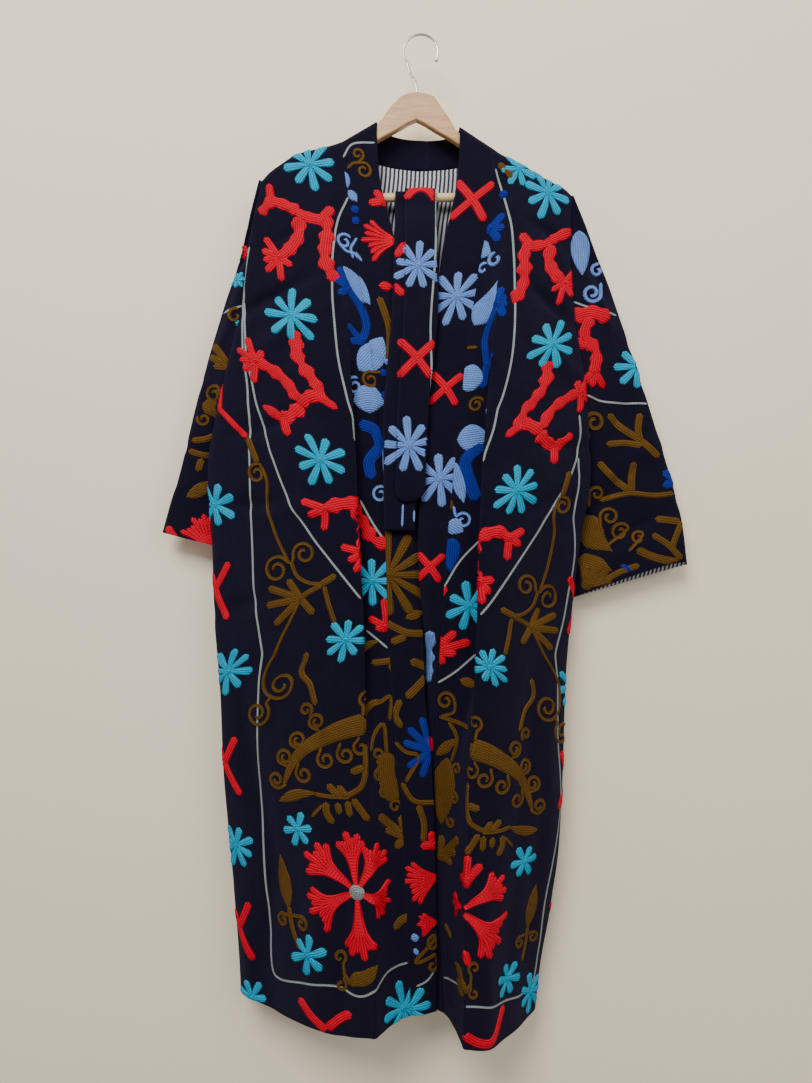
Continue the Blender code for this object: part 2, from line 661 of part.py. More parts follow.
def add_bar(material):
    """The hanger's round bar, with slightly eased ends."""
    low, high = BAR_ENDS
    path = [(low, 0, BAR_Z), (low + 0.6, 0, BAR_Z), (low + 40, 0, BAR_Z), (0, 0, BAR_Z),
            (high - 40, 0, BAR_Z), (high - 0.6, 0, BAR_Z), (high, 0, BAR_Z)]
    radii = [BAR_RADIUS - 0.6] + [BAR_RADIUS] * 5 + [BAR_RADIUS - 0.6]
    return add_round_run("hanger_bar", path, radii, 16, material)


def add_hook(material):
    """The bent wire: up from the wood, out to one side, round the top and down to a tip."""
    middle_z = -HOOK_RADIUS + WIRE_RADIUS
    foot = [(-5.5, 0, -79.2), (-5.6, 0, -74), (-6.2, 0, -67), (-9.5, 0, -59), (-15, 0, -50.5)]
    arc = []
    for i in range(19):
        angle = math.radians(218 - i * (218 + 22) / 18)
        arc.append((HOOK_RADIUS * math.cos(angle), 0, middle_z + HOOK_RADIUS * math.sin(angle)))
    path = foot + arc
    path = curve_through(path, [1] * (len(path) - 1))
    last = path[-1]
    way = last - path[-2]
    way /= np.linalg.norm(way)
    tip = [last + way * d for d in (1.2, 2.2, 3.6, 4.6, 5.1)]
    radii = [WIRE_RADIUS] * len(path) + [2.5, 3.0, 3.0, 2.2, 0.9]
    return add_round_run("hanger_hook", np.concatenate([path, tip]), radii, 10, material)


for old in list(bpy.data.objects):
    bpy.data.objects.remove(old, do_unlink=True)
robe = bpy.data.collections.new("embroidered_robe")
bpy.context.scene.collection.children.link(robe)

navy = (0.012, 0.012, 0.024)
front_right = front_panel(FRONT_RIGHT, SHOULDER_RIGHT, HEM_RIGHT)
front_left = front_panel(FRONT_LEFT, SHOULDER_LEFT, HEM_LEFT)
add_cloth("front_right", front_right, colour("front_right", navy, 0.9))
add_cloth("front_left", front_left, colour("front_left", navy, 0.9))
add_cloth("back", back_panel(), colour("back", navy, 0.9))
add_cloth("band_right", band(FRONT_RIGHT, SHOULDER_RIGHT, HEM_RIGHT, NECK_RIGHT),
          colour("band_right", (0.02, 0.02, 0.035), 0.9))
add_cloth("band_left", band(FRONT_LEFT, SHOULDER_LEFT, HEM_LEFT, NECK_LEFT),
          colour("band_left", (0.02, 0.02, 0.035), 0.9))
sleeve_right = sleeve(SLEEVE_RIGHT, FRONT_RIGHT, SHOULDER_RIGHT[0][1],
                      SLEEVE_RIGHT_STEPS, 24, 0.0)
sleeve_left = sleeve(SLEEVE_LEFT, FRONT_LEFT, SHOULDER_LEFT[-1][1], SLEEVE_LEFT_STEPS,
                     24, CUFF_LIFT)
add_cloth("sleeve_right", sleeve_right, colour("sleeve_right", navy, 0.9), closed=True)
add_cloth("sleeve_left", sleeve_left, colour("sleeve_left", navy, 0.9), closed=True)
add_cloth("lining_back", lining_back_panel(), colour("lining_back", (0.4, 0.4, 0.45), 0.9),
          thickness=1.0)
add_cloth("lining_cuff_left", cuff_lining(sleeve_left),
          colour("lining_cuff_left", (0.4, 0.4, 0.45), 0.9), thickness=1.0, closed=True)
add_cloth("belt", belt_surface(), colour("belt", (0.02, 0.02, 0.03), 0.9))
add_wood(colour("hanger_wood", (0.62, 0.36, 0.16), 0.4))
add_bar(colour("hanger_bar", (0.68, 0.46, 0.24), 0.5))
hook_colour = colour("hanger_hook", (0.55, 0.54, 0.52), 0.25)
hook_colour.node_tree.nodes["Principled BSDF"].inputs["Metallic"].default_value = 1.0
add_hook(hook_colour)
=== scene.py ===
"""The looks of a long embroidered robe on a wooden hanger, its belt over the hanger's bar.

Millimetres in the tables, metres in the scene. X to the viewer's right, front faces -Y, +Z up.
The cloth is built finer on the same sections as the solids, apart from the sleeves, whose under
folds are set further behind the body. The stitching is raised on it.
"""
import math

import bpy
import numpy as np
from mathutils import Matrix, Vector
from mathutils.bvhtree import BVHTree


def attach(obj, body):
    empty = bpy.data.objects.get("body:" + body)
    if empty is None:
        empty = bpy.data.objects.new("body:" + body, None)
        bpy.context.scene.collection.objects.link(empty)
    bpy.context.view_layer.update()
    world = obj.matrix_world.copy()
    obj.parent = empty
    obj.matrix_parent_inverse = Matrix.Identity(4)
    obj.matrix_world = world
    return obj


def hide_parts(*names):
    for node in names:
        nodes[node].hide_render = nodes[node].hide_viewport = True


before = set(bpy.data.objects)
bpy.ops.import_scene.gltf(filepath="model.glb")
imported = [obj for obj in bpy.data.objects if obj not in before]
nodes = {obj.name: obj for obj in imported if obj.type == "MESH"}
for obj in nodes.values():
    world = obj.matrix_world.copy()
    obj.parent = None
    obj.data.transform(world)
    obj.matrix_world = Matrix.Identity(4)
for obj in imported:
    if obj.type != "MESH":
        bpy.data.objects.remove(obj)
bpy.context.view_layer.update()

# Sizes and sections of the cloth
WALL = 2.0          # cloth with its lining, thickness
GAP = 0.3           # space left at a seam
SEAM = 1.3          # between the middles of two walls that meet at an angle, for the same space
RIDGE = 8.5         # radius of the cloth's turn over the hanger's arms
RIM = 0.5           # how far short of the shoulder line each panel's edge stops
ROLL_DOWN = 42.0    # below the shoulder's tip, the drop over which the cloth rolls back
JOIN_DOWN = 40.0    # the drop over which the armhole's edges come together as a side seam
LEVEL = -360.0      # below this height the rows of a panel run level
UNDERARM = -500.0   # height of the lowest point of an armhole

# Each front in level sections. side: where the outline turns back; crest: the main forward fold;
# tuck: how far the cloth doubles back under the crest; seam: where the neckband is sewn on;
# edge: the band's free edge; bow: how far the band bulges forward between seam and edge.
FRONT_COLUMNS = ("z", "side_x", "side_y", "crest_x", "crest_y", "tuck",
                 "seam_x", "seam_y", "edge_x", "edge_y", "bow")
FRONT_RIGHT = (
    (-140, -213, -9, -136, -10, 0, -107, -9, -60, -9, 0),
    (-200, -216, -10, -134, -13, 0, -101, -12, -56, -11, 1),
    (-250, -226, -10, -126, -19, 0, -93, -14, -44, -13, 2),
    (-300, -234, -10, -116, -25, 0, -86, -16, -33, -14, 3),
    (-360, -241, -10, -107, -33, 0, -78, -18, -24, -15, 4),
    (-430, -257, -9, -98, -40, 4, -67, -20, -17, -16, 4),
    (-500, -274, -4, -92, -45, 12, -57, -22, -11, -17, 4),
    (-600, -291, -1, -86, -51, 24, -49, -26, -5, -18, 3),
    (-700, -285, 0, -82, -54, 26, -46, -29, 2, -20, 3),
    (-800, -282, 0, -76, -56, 22, -43, -31, 3, -22, 3),
    (-850, -278, 0, -75, -57, 16, -40, -33, 3, -25, 3),
    (-900, -274, 0, -74, -58, 9, -37, -34, 5, -27, 3),
    (-1000, -270, 0, -71, -59, 1, -31, -36, 14, -29, 3),
    (-1100, -262, 2, -66, -61, 0, -22, -36, 18, -28, 3),
    (-1200, -253, 4, -62, -64, 0, -18, -34, 20, -26, 3),
    (-1270, -248, 6, -60, -66, 0, -15, -32, 20, -24, 3),
    (-1345, -245, 8, -60, -68, 0, -12, -30, 21, -22, 3),
)
FRONT_LEFT = (
    (-140, 206, -9, 132, -10, 0, 98, -9, 53, -9, 0),
    (-200, 205, -10, 128, -14, 0, 98, -12, 50, -11, 1),
    (-250, 203, -10, 121, -21, 0, 92, -14, 40, -13, 2),
    (-300, 202, -10, 113, -28, 0, 82, -16, 29, -14, 3),
    (-360, 206, -10, 104, -36, 0, 71, -18, 22, -17, 4),
    (-430, 215, -9, 95, -46, 5, 61, -22, 16, -20, 4),
    (-500, 226, -4, 88, -53, 13, 53, -24, 10, -23, 4),
    (-600, 232, -1, 80, -60, 26, 42, -28, 2, -27, 4),
    (-700, 217, 0, 75, -65, 28, 33, -30, -4, -30, 5),
    (-800, 205, 0, 72, -68, 22, 26, -29, 3, -31, 6),
    (-850, 200, 0, 70, -70, 16, 23, -27, 9, -15, 4),
    (-900, 197, 0, 67, -71, 9, 20, -25, 2, -4, 2),
    (-1000, 194, 0, 63, -73, 1, 18, -21, -14, 0, 0),
    (-1100, 189, 2, 58, -75, 0, 20, -19, -16, 2, 0),
    (-1200, 177, 4, 55, -79, 0, 24, -18, -14, 3, 0),
    (-1270, 165, 6, 54, -81, 0, 28, -17, -10, 4, 0),
    (-1345, 157, 8, 54, -83, 0, 32, -16, -6, 4, 0),
)

# The line of each shoulder along the hanger's arm, and each hem, as x and z.
SHOULDER_RIGHT = ((-216, -201), (-206, -190), (-188, -177), (-170, -166), (-142, -158),
                  (-126, -154), (-107, -147.5), (-90, -137), (-72, -125), (-60, -120))
SHOULDER_LEFT = ((53, -127), (70, -136), (90, -150), (98, -157), (106, -163), (134, -178),
                 (167, -198), (196, -213), (206, -222))
HEM_RIGHT = ((-245, -1314), (-122, -1334), (-62, -1334), (-28, -1327), (0, -1324), (20, -1324))
HEM_LEFT = ((-16, -1322), (8, -1324), (34, -1331), (54, -1338), (76, -1345), (110, -1346),
            (145, -1340), (157, -1338))
HEM_BACK = ((-245, -1314), (-100, -1320), (0, -1323), (90, -1330), (157, -1338))

# The top edge of the back: shoulder, the curve of the neck, shoulder.
BACK_TOP = (
    (-216, 0, -201), (-206, 0, -190), (-188, 0, -177), (-170, 0, -166), (-142, 0, -158),
    (-126, 0, -154), (-111, 0, -149.4), (-101, 8, -155.4), (-86, 15, -161.6), (-58, 20, -169.3),
    (-30, 22, -174.3), (0, 22.5, -176.3), (28, 22, -175.8), (54, 20, -173.4), (78, 15.5, -170),
    (90, 10, -167.8), (104, 0, -161.7), (113, 0, -166.6), (134, 0, -178), (167, 0, -198),
    (196, 0, -213), (206, 0, -222),
)
# The back in level sections: depth at four places from the wearer's right side to the left.
BACK_COLUMNS = ("z", "y_right", "y_mid_right", "y_middle", "y_mid_left", "y_left")
BACK = (
    (-140, 9, 10, 22, 10, 9), (-180, 9, 12, 22.5, 12, 9), (-230, 10, 15, 21, 15, 10),
    (-300, 10, 16, 21, 16, 10), (-400, 10, 15, 22, 16, 10), (-500, 8, 12, 23, 14, 8),
    (-600, 6, 11, 24, 12, 6), (-720, 6, 12, 25, 12, 6), (-860, 8, 20, 25, 19, 8),
    (-1000, 8, 24, 27, 22, 8), (-1150, 11, 27, 30, 24, 11), (-1345, 16, 32, 35, 28, 16),
)
# The neckband's run round the back of the neck, as sewn edge and free edge, from each shoulder.
NECK_RIGHT = (
    (-106, 4.6, -147.2, -59.6, 4.2, -121), (-101.5, 8, -150.6, -57.5, 8, -122.5),
    (-85, 15, -158.8, -50, 13.5, -126.5), (-58, 20, -167.8, -36, 17.5, -130.5),
    (-30, 22, -172.8, -18, 19, -133.5), (8.85, 22.5, -174.8, 8.85, 20, -135),
)
NECK_LEFT = (
    (98.5, 4.6, -157.2, 52.6, 4.2, -127.8), (91, 10, -164.6, 50.5, 8, -129),
    (76, 15.5, -167.9, 44, 13.5, -131.5), (54, 20, -171.8, 34, 17.5, -133.5),
    (28, 22, -174.4, 22, 19, -134.6), (9.15, 22.5, -174.8, 9.15, 20, -135),
)

# Each sleeve in rings from armhole to cuff: its top fold and its under fold, each as x, y and z,
# and half its depth.
SLEEVE_RIGHT = (
    (-219.5, 0, -203, -277, 4.2, -500, 5),
    (-250, 6, -308, -279, 5.6, -507, 6),
    (-283, 11, -412, -275, 9, -519, 8),
    (-306, 14.5, -487, -268, 17, -543, 9),
    (-322, 16.5, -550, -264, 26, -590, 9),
    (-334, 18, -598, -232, 30, -640, 9),
    (-348, 19, -642, -203, 32, -687, 9),
    (-359, 20, -681, -176, 31, -728, 9),
)
SLEEVE_LEFT = (
    (209.5, 0, -224, 229.5, 4.2, -500, 5),
    (223, 2, -254, 227, 4.8, -507, 5.5),
    (240, 4, -296, 226, 5.8, -515, 6),
    (257, 6, -338, 225, 7.4, -524, 6.5),
    (275, 9, -388, 223, 11, -536, 7),
    (294, 12, -438, 220, 17, -554, 7.5),
    (314, 14, -500, 220, 24, -584, 8),
    (334, 16, -563, 212, 29, -628, 9),
    (352, 18, -621, 196, 31, -678, 9.5),
    (364, 19, -670, 183, 32, -732, 10),
    (371, 20, -726, 173, 31.5, -786, 10),
)
CUFF_LIFT = 13.0    # how far the front wall's edge is drawn up at the left cuff
MERGE = 0.32        # share of a sleeve's sections over which it leaves the armhole's own shape

# The belt's run in the plane across the bar: depth, height, and the shift and width of the strip
BELT = (
    (-39.0, -641, -18, 13), (-39.4, -637, -17, 27), (-39.6, -628, -15, 38), (-39.6, -598, -13.5, 39),
    (-38, -540, -12, 41), (-36.4, -505, -10, 42), (-33.6, -440, -4, 44), (-30, -371, 0, 46),
    (-25.5, -310, 0, 44), (-18.5, -262, -0.5, 43), (-12.2, -236, -0.5, 43), (-10.9, -222, -0.5, 43),
    (-7.7, -214.3, -0.5, 43), (0, -211.1, -0.5, 43), (7.7, -214.3, -0.5, 43),
    (10.9, -222, -1, 43), (11.2, -260, -2, 43), (12.4, -400, -3, 43), (13.0, -560, -4, 43),
    (12.6, -590, -4.5, 43), (10.6, -595.5, -5, 43), (8.6, -590, -5.5, 43), (8.4, -560, -6, 43),
    (8.1, -400, -9, 43), (7.7, -260, -11.5, 43), (7.6, -222, -13, 43), (5.4, -216.6, -13.2, 43),
    (0, -214.4, -13.5, 43), (-5.4, -216.6, -13.5, 43), (-7.6, -222, -13.5, 43),
    (-8.6, -236, -13.5, 43), (-14.6, -262, -14, 43), (-21.4, -310, -15.5, 43),
    (-26.2, -371, -17, 43), (-29.8, -440, -22, 43), (-32.8, -505, -28, 43), (-34, -540, -29, 43),
    (-35.6, -598, -29, 42), (-36, -640, -29, 42), (-36.4, -679, -28.5, 40),
)


def ease(t):
    """Nothing to one, level at both ends."""
    return t * t * (3 - 2 * t)


def round_off(t):
    """Nothing to one along a quarter round."""
    return np.sqrt(1 - (1 - t) ** 2)


def hermite(t, width, start, start_slope, end, end_slope):
    """A place along a span between two values that have slopes."""
    return ((2 * t**3 - 3 * t**2 + 1) * start + (t**3 - 2 * t**2 + t) * width * start_slope
            + (3 * t**2 - 2 * t**3) * end + (t**3 - t**2) * width * end_slope)


def smooth(at, places, values):
    """A smooth curve through table values, without overshoot, read at any places."""
    places = np.asarray(places, float)
    values = np.asarray(values, float)
    if places[0] > places[-1]:
        places, values = places[::-1], values[::-1]
    steps = np.diff(places)
    rises = np.diff(values) / steps
    slopes = np.zeros(len(values))
    slopes[0], slopes[-1] = rises[0], rises[-1]
    same_sign = rises[:-1] * rises[1:] > 0
    blend = 2.0 * rises[:-1] * rises[1:] / np.where(same_sign, rises[:-1] + rises[1:], 1.0)
    slopes[1:-1] = np.where(same_sign, blend, 0.0)
    at = np.clip(np.asarray(at, float), places[0], places[-1])
    span = np.clip(np.searchsorted(places, at) - 1, 0, len(steps) - 1)
    width = steps[span]
    t = (at - places[span]) / width
    return hermite(t, width, values[span], slopes[span], values[span + 1], slopes[span + 1])


def curve_through(points, counts):
    """Points along a rounded curve through control points, a number of steps for each span."""
    points = np.asarray(points, float)
    lengths = np.maximum(np.linalg.norm(np.diff(points, axis=0), axis=1), 1e-6) ** 0.5
    knots = np.concatenate([[0.0], np.cumsum(lengths)])
    slopes = np.zeros_like(points)
    chords = np.diff(points, axis=0) / lengths[:, None]
    slopes[0], slopes[-1] = chords[0], chords[-1]
    for i in range(1, len(points) - 1):
        slopes[i] = (chords[i - 1] * lengths[i] + chords[i] * lengths[i - 1])
        slopes[i] /= lengths[i - 1] + lengths[i]
    result = [points[0]]
    for i, count in enumerate(counts):
        for step in range(1, count + 1):
            result.append(hermite(step / count, knots[i + 1] - knots[i], points[i], slopes[i],
                                  points[i + 1], slopes[i + 1]))
    return np.array(result)


# Rows of a fine panel: close together over the hanger's arms, then even
RIDGE_ROWS = tuple(0.046 * (i / 7) ** 2 for i in range(8))
UPPER_ROWS = tuple(0.06 + 0.925 * i / 41 for i in range(42))
LOWER_ROWS = tuple(1.0 + i / 204 for i in range(205))
ROWS = RIDGE_ROWS + UPPER_ROWS + LOWER_ROWS
FRONT_COUNTS = (3, 16, 18, 9, 5, 5, 6, 4, 6, 8)
BACK_COUNTS = (4, 6, 12, 20, 20, 12, 6, 4)
BAND_COUNTS = (7, 7)
SLEEVE_RINGS = 110
SLEEVE_POINTS = 132
HEIGHTS = np.arange(-1430.0, -60.0, 1.0)
column_values = {}


def read(table, columns, name, z):
    """One named column of a table of sections at a height, from a fine list made once."""
    key = (id(table), name)
    if key not in column_values:
        place = columns.index(name)
        heights = [row[0] for row in table]
        column_values[key] = smooth(HEIGHTS, heights, [row[place] for row in table])
    return float(np.interp(z, HEIGHTS, column_values[key]))


def section_place(table, name, z):
    """A named place of one front's sections at a height, as x and depth."""
    return np.array([read(table, FRONT_COLUMNS, name + part, z) for part in ("_x", "_y")])


def along(line, x, place=1):
    """Height, or another column, of a line given as x and values."""
    return smooth(x, [row[0] for row in line], [row[place] for row in line])


def turn_over_ridge(drop):
    """Share of the full depth reached at a drop below the shoulder line: a quarter round."""
    return round_off(np.clip(drop / RIDGE, 0.0, 1.0))


def row_height(top, hem, row):
    """Height of a row: from the shoulder line to the level line, then to the hem."""
    if row < 1.0:
        return top + (LEVEL - top) * row
    return LEVEL + (hem - LEVEL) * (row - 1.0)


def side_roll(z, tip):
    """How far the cloth has rolled back at the side: none at the shoulder's tip, then whole."""
    return ease(np.clip((tip - z) / ROLL_DOWN, 0.0, 1.0))


def front_features(table, tip, z):
    """Named places across one front at a height, from the side to the seam of the band."""
    side, crest, seam = [section_place(table, name, z) for name in ("side", "crest", "seam")]
    tuck = read(table, FRONT_COLUMNS, "tuck", z)
    out = 1.0 if crest[0] > side[0] else -1.0
    roll = side_roll(z, tip)
    join = side + np.array([out * (2.6 * roll - 1.8), 4.5 * roll])
    share = np.clip(tuck / 16.0, 0.0, 1.0)
    under = crest + (seam - crest) * np.array([0.38, 0.55])
    under = under + np.array([-out * (tuck + 0.38 * abs(seam[0] - crest[0]) * share), 3.0 * share])
    strip = crest + (seam - crest) * np.array([0.7, 0.86])
    strip = strip + np.array([-out * 0.35 * tuck, 3.5 * share])
    reach = crest - side
    near = side + reach * np.array([0.3, 0.44])
    far = side + reach * np.array([0.7, 0.86]) - np.array([0.0, 1.5])
    lip = crest + np.array([-out * 6.0, -0.6]) * share + (far - crest) * 0.12 * (1 - share)
    turn = crest + np.array([-out * 3.6, 6.6]) * share + (under - crest) * 0.3 * (1 - share)
    inner = under + np.array([out * 2.0, 5.0]) * share + (strip - under) * 0.35 * (1 - share)
    front = crest + np.array([0.0, 2.2]) * share
    sewn = seam + (strip - seam) / np.linalg.norm(strip - seam) * SEAM
    return [join, side, near, far, lip, front, turn, under, inner, strip, sewn]


def hung_point(feature, z, top_line, hem_line, row):
    """Settle a feature on its row, since the shoulder line and the hem change with x."""
    for _ in range(4):
        x = feature(z)[0]
        z = row_height(along(top_line, x), along(hem_line, x), row)
    x, y = feature(z)
    return np.array([x, y, z])


def lay_over_ridge(points, heights, depths, row, sign):
    """Bring the top rows of a panel in over the shoulder line."""
    for point in points:
        top = along(heights, point[0])
        share = turn_over_ridge((top - LEVEL) * row)
        edge = max(sign * along(depths, point[0]), RIM) * sign
        point[1] = edge + (point[1] - edge) * share
        point[2] = row_height(top, 0.0, row)


def neck_point(top_line, out):
    """The end of a shoulder line that is at the neck."""
    ends = (top_line[0][0], top_line[-1][0])
    return max(ends) if out > 0 else min(ends)


def side_join(table, tip, z):
    """Where a side seam runs at a height, and where the outline is."""
    features = front_features(table, tip, z)
    return features[0], features[1]


def armhole_share(z):
    """One beside the armhole, nothing at the side seam under it."""
    return ease(np.clip((z - UNDERARM - 4.0) / JOIN_DOWN, 0.0, 1.0))


def back_features(z):
    """Named places across the back at a height."""
    share = armhole_share(z)
    depth = [read(BACK, BACK_COLUMNS, name, z) for name in BACK_COLUMNS[1:]]
    places = []
    for table, tip, near, sign in ((FRONT_RIGHT, SHOULDER_RIGHT[0][1], depth[0], 1.0),
                                   (FRONT_LEFT, SHOULDER_LEFT[-1][1], depth[-1], -1.0)):
        join, side = side_join(table, tip, z)
        low_join = join + np.array([0.0, 0.8])
        low_side = np.array([side[0] + sign * 4.0, near + 2.2])
        high_join = np.array([side[0] + sign * 6.0, near])
        high_side = np.array([side[0] + sign * 12.0, near + 0.3])
        places.append((low_join + (high_join - low_join) * share,
                       low_side + (high_side - low_side) * share))
    (right_join, right_side), (left_join, left_side) = places

    def across(share, y):
        return np.array([right_side[0] + (left_side[0] - right_side[0]) * share, y])

    return [right_join, right_side, across(0.12, depth[0] * 0.55 + depth[1] * 0.45),
            across(0.27, depth[1]), across(0.5, depth[2]), across(0.73, depth[3]),
            across(0.88, depth[4] * 0.55 + depth[3] * 0.45), left_side, left_join]


def armhole_loop(table, tip, count):
    """Edge of an armhole, down its front and up its back, outside both panels by a seam's gap."""
    out = -1.0 if section_place(table, "side", LEVEL)[0] < 0 else 1.0
    loop = []
    for i in range(count):
        angle = 2 * math.pi * i / count
        share = (1 - math.cos(angle)) / 2
        z = tip + (UNDERARM - tip) * share
        join, side = side_join(table, tip, z)
        low = np.clip((share - 0.85) / 0.15, 0.0, 1.0)
        if angle <= math.pi:
            roll = side_roll(z, tip)
            point = join + np.array([out * (1 - roll) * 2.2, min(1.0, roll * 2.5) * 1.9])
        else:
            features = back_features(z)
            point = features[0] if out < 0 else features[-1]
            corner = max(0.0, 1.0 - abs(z - 0.93 * UNDERARM) / 50.0)
            point = point + np.array([out * (1.4 + 2.4 * corner), 0.0])
        apart = 3.0 * math.sqrt(1.0 - low ** 3) * (-1.0 if angle <= math.pi else 1.0)
        point[0] += (join[0] + out * 3.0 - point[0]) * low
        point[1] += (4.2 + apart - point[1]) * min(1.0, 3.0 * low)
        point[1] *= turn_over_ridge(tip - z)
        loop.append((point[0], point[1], z))
    return np.array(loop)


def sleeve(rows, table, tip, cuff_lift):
    """Middle surface of a sleeve, rings of points from the armhole to the cuff."""
    loop = armhole_loop(table, tip, SLEEVE_POINTS)
    places = np.arange(len(rows))
    grid = []
    first = None
    for at in np.linspace(0, len(rows) - 1, SLEEVE_RINGS):
        value = np.array([smooth(at, places, column) for column in zip(*rows)])
        top, under, half = value[:3], value[3:6], value[6]
        ring = []
        for i in range(SLEEVE_POINTS):
            angle = 2 * math.pi * i / SLEEVE_POINTS
            share = (1 - math.cos(angle)) / 2
            bulge = abs(math.sin(angle)) ** 0.75
            point = top + (under - top) * share
            point[1] += (-1.0 if angle <= math.pi else 1.0) * half * bulge
            if angle <= math.pi:
                point[2] += cuff_lift * bulge * max(0.0, at / places[-1] - 0.8) * 5.0 * (1 - share)
            ring.append(point)
        ring = np.array(ring)
        if first is None:
            first = loop - ring
        fade = max(0.0, 1.0 - at / (MERGE * len(rows))) ** 1.8
        grid.append(ring + first * fade)
    return np.array(grid)


def front_panel(table, top_line, hem_line):
    """Middle surface of one front, a fine grid of points by row and across."""
    tip = min(along(top_line, row[0]) for row in (top_line[0], top_line[-1]))
    level_line = [(x, 0.0) for x, _ in top_line]
    grid = []
    for row in ROWS:
        start = row_height(-150.0, -1330.0, row)
        controls = []
        for i in range(len(FRONT_COUNTS) + 1):
            controls.append(hung_point(lambda z, i=i: front_features(table, tip, z)[i],
                                       start, top_line, hem_line, row))
        points = curve_through(controls, FRONT_COUNTS)
        if row < 1.0:
            lay_over_ridge(points, top_line, level_line, row, -1.0)
        grid.append(points)
    return np.array(grid)


def band(table, top_line, hem_line, neck):
    """Middle surface of half of the neckband: its neck part, then its part down the front."""
    out = 1.0 if section_place(table, "side", LEVEL)[0] < 0 else -1.0
    controls = []
    for sewn_x, sewn_y, sewn_z, free_x, free_y, free_z in reversed(neck):
        sewn = np.array([sewn_x, sewn_y, sewn_z])
        free = np.array([free_x, free_y, free_z])
        controls.append((sewn, (sewn + free) / 2 + np.array([0.0, 0.8, 0.0]), free))
    free_top = along(top_line, neck_point(top_line, out))
    down = []
    for row in ROWS:
        start = row_height(-140.0, -1330.0, row)
        sewn = hung_point(lambda z: section_place(table, "seam", z), start, top_line, hem_line,
                          row)
        sewn[1] *= turn_over_ridge(along(top_line, sewn[0]) - sewn[2])
        z = row_height(free_top, along(hem_line, section_place(table, "edge", -1330.0)[0]), row)
        x, y = section_place(table, "edge", z)
        y = y * turn_over_ridge(free_top - z) if y < 0 else y
        free = np.array([x, y, z])
        bow = read(table, FRONT_COLUMNS, "bow", z)
        middle = (sewn + free) / 2 - np.array([0.0, bow, 0.0])
        if row == 0.0:
            sewn[1], free[1], middle[1] = 0.0, 0.0, 0.0
        down.append((sewn, middle, free))
    controls.append(down[0])
    around = []
    for place in range(3):
        line = curve_through([c[place] for c in controls], (6,) * (len(controls) - 1))
        around.append(line[:-1])
    neck_grid = [curve_through(three, BAND_COUNTS) for three in zip(*around)]
    front_grid = [curve_through(three, BAND_COUNTS) for three in down]
    return np.array(neck_grid + front_grid), len(neck_grid)


def back_panel():
    """Middle surface of the back, below the shoulders and the curve of the neck."""
    top_heights = [(row[0], row[2]) for row in BACK_TOP]
    top_depths = [(row[0], row[1]) for row in BACK_TOP]
    grid = []
    for row in ROWS:
        z = row_height(-160.0, -1325.0, row)
        controls = []
        for place in range(len(BACK_COUNTS) + 1):
            level = z
            for _ in range(3):
                x = back_features(level)[place][0]
                level = row_height(along(top_heights, x), along(HEM_BACK, x), row)
            x, y = back_features(level)[place]
            controls.append(np.array([x, y, level]))
        points = curve_through(controls, BACK_COUNTS)
        if row < 1.0:
            lay_over_ridge(points, top_heights, top_depths, row, 1.0)
        grid.append(points)
    return np.array(grid)


def grid_normals(points, closed, toward=-1.0):
    """Unit directions out of a tube, or out of a sheet toward front -1 or back 1, and whether
    the grid's own order of points had to be turned for them."""
    down = np.gradient(points, axis=0)
    if closed:
        over = (np.roll(points, -1, axis=1) - np.roll(points, 1, axis=1)) / 2
        way = points - points.mean(axis=1)[:, None]
    else:
        over = np.gradient(points, axis=1)
        way = np.array([0.0, toward, 0.0])
    normal = np.cross(over, down)
    normal = normal / np.maximum(np.linalg.norm(normal, axis=2), 1e-9)[:, :, None]
    turned = (normal * way).sum(axis=2).mean() < 0
    return (-normal if turned else normal), turned


def grid_cells(rows, across, closed=False):
    """The four corners of each cell of a grid of points, row by row."""
    for j in range(rows - 1):
        for i in range(across if closed else across - 1):
            n = (i + 1) % across
            yield j * across + i, j * across + n, (j + 1) * across + n, (j + 1) * across + i


def distances(path):
    """Distance of each point of a path from its first."""
    return np.concatenate([[0.0], np.cumsum(np.linalg.norm(np.diff(path, axis=0), axis=1))])


def distances_across(grid):
    """Distance of each point of a grid from the first in its row, along the row."""
    steps = np.linalg.norm(np.diff(grid, axis=1), axis=2)
    return np.concatenate([np.zeros((len(grid), 1)), np.cumsum(steps, axis=1)], axis=1)


# Creases
CREASE_DEPTH = 2.1  # how much deeper each crease is pressed than its table says


def creased(grid, closed, creases):
    """A grid with soft troughs, and ridges where the depth is negative, along short lines."""
    normals = grid_normals(grid, closed)[0]
    depth = np.zeros(grid.shape[:2])
    for x0, z0, x1, z1, deep, wide in creases:
        start = np.array([x0, z0])
        way = np.array([x1, z1]) - start
        length = np.linalg.norm(way)
        away = grid[:, :, [0, 2]] - start
        along_line = (away @ way) / length ** 2
        square = (away[:, :, 0] * way[1] - away[:, :, 1] * way[0]) / length
        bent = square + wide * 0.5 * np.sin(3.0 * along_line + x0)
        ends = np.clip(1.0 - np.abs(along_line - 0.5) * 2.0, -0.3, 1.0) + 0.3
        fade = np.clip(ends / 1.3, 0.0, 1.0) ** 0.8
        depth += CREASE_DEPTH * deep * np.exp(-(bent / wide) ** 2) * fade
    return grid - normals * depth[:, :, None]


# Places of the photograph's camera and its own scale, for setting motifs where they are seen
CAMERA = np.array([-20.2, -1114.0, -693.5])
PHOTO_MIDDLE = (406.0, 541.5)
PHOTO_REACH = 812.0
# Where a line of sight misses its cloth, how far along it the nearest cloth is sought
TO_BODY, TO_SLEEVE = 1080.0, 1110.0
SLEEVE_MIDDLE = 14.0    # depth of the sleeves' middle
CLEAR = 400.0           # a depth outside the whole robe


def photo_ray(u, v):
    """Direction of sight through a place in the photograph."""
    return Vector(((u - PHOTO_MIDDLE[0]) / PHOTO_REACH, 1.0, -(v - PHOTO_MIDDLE[1]) / PHOTO_REACH))


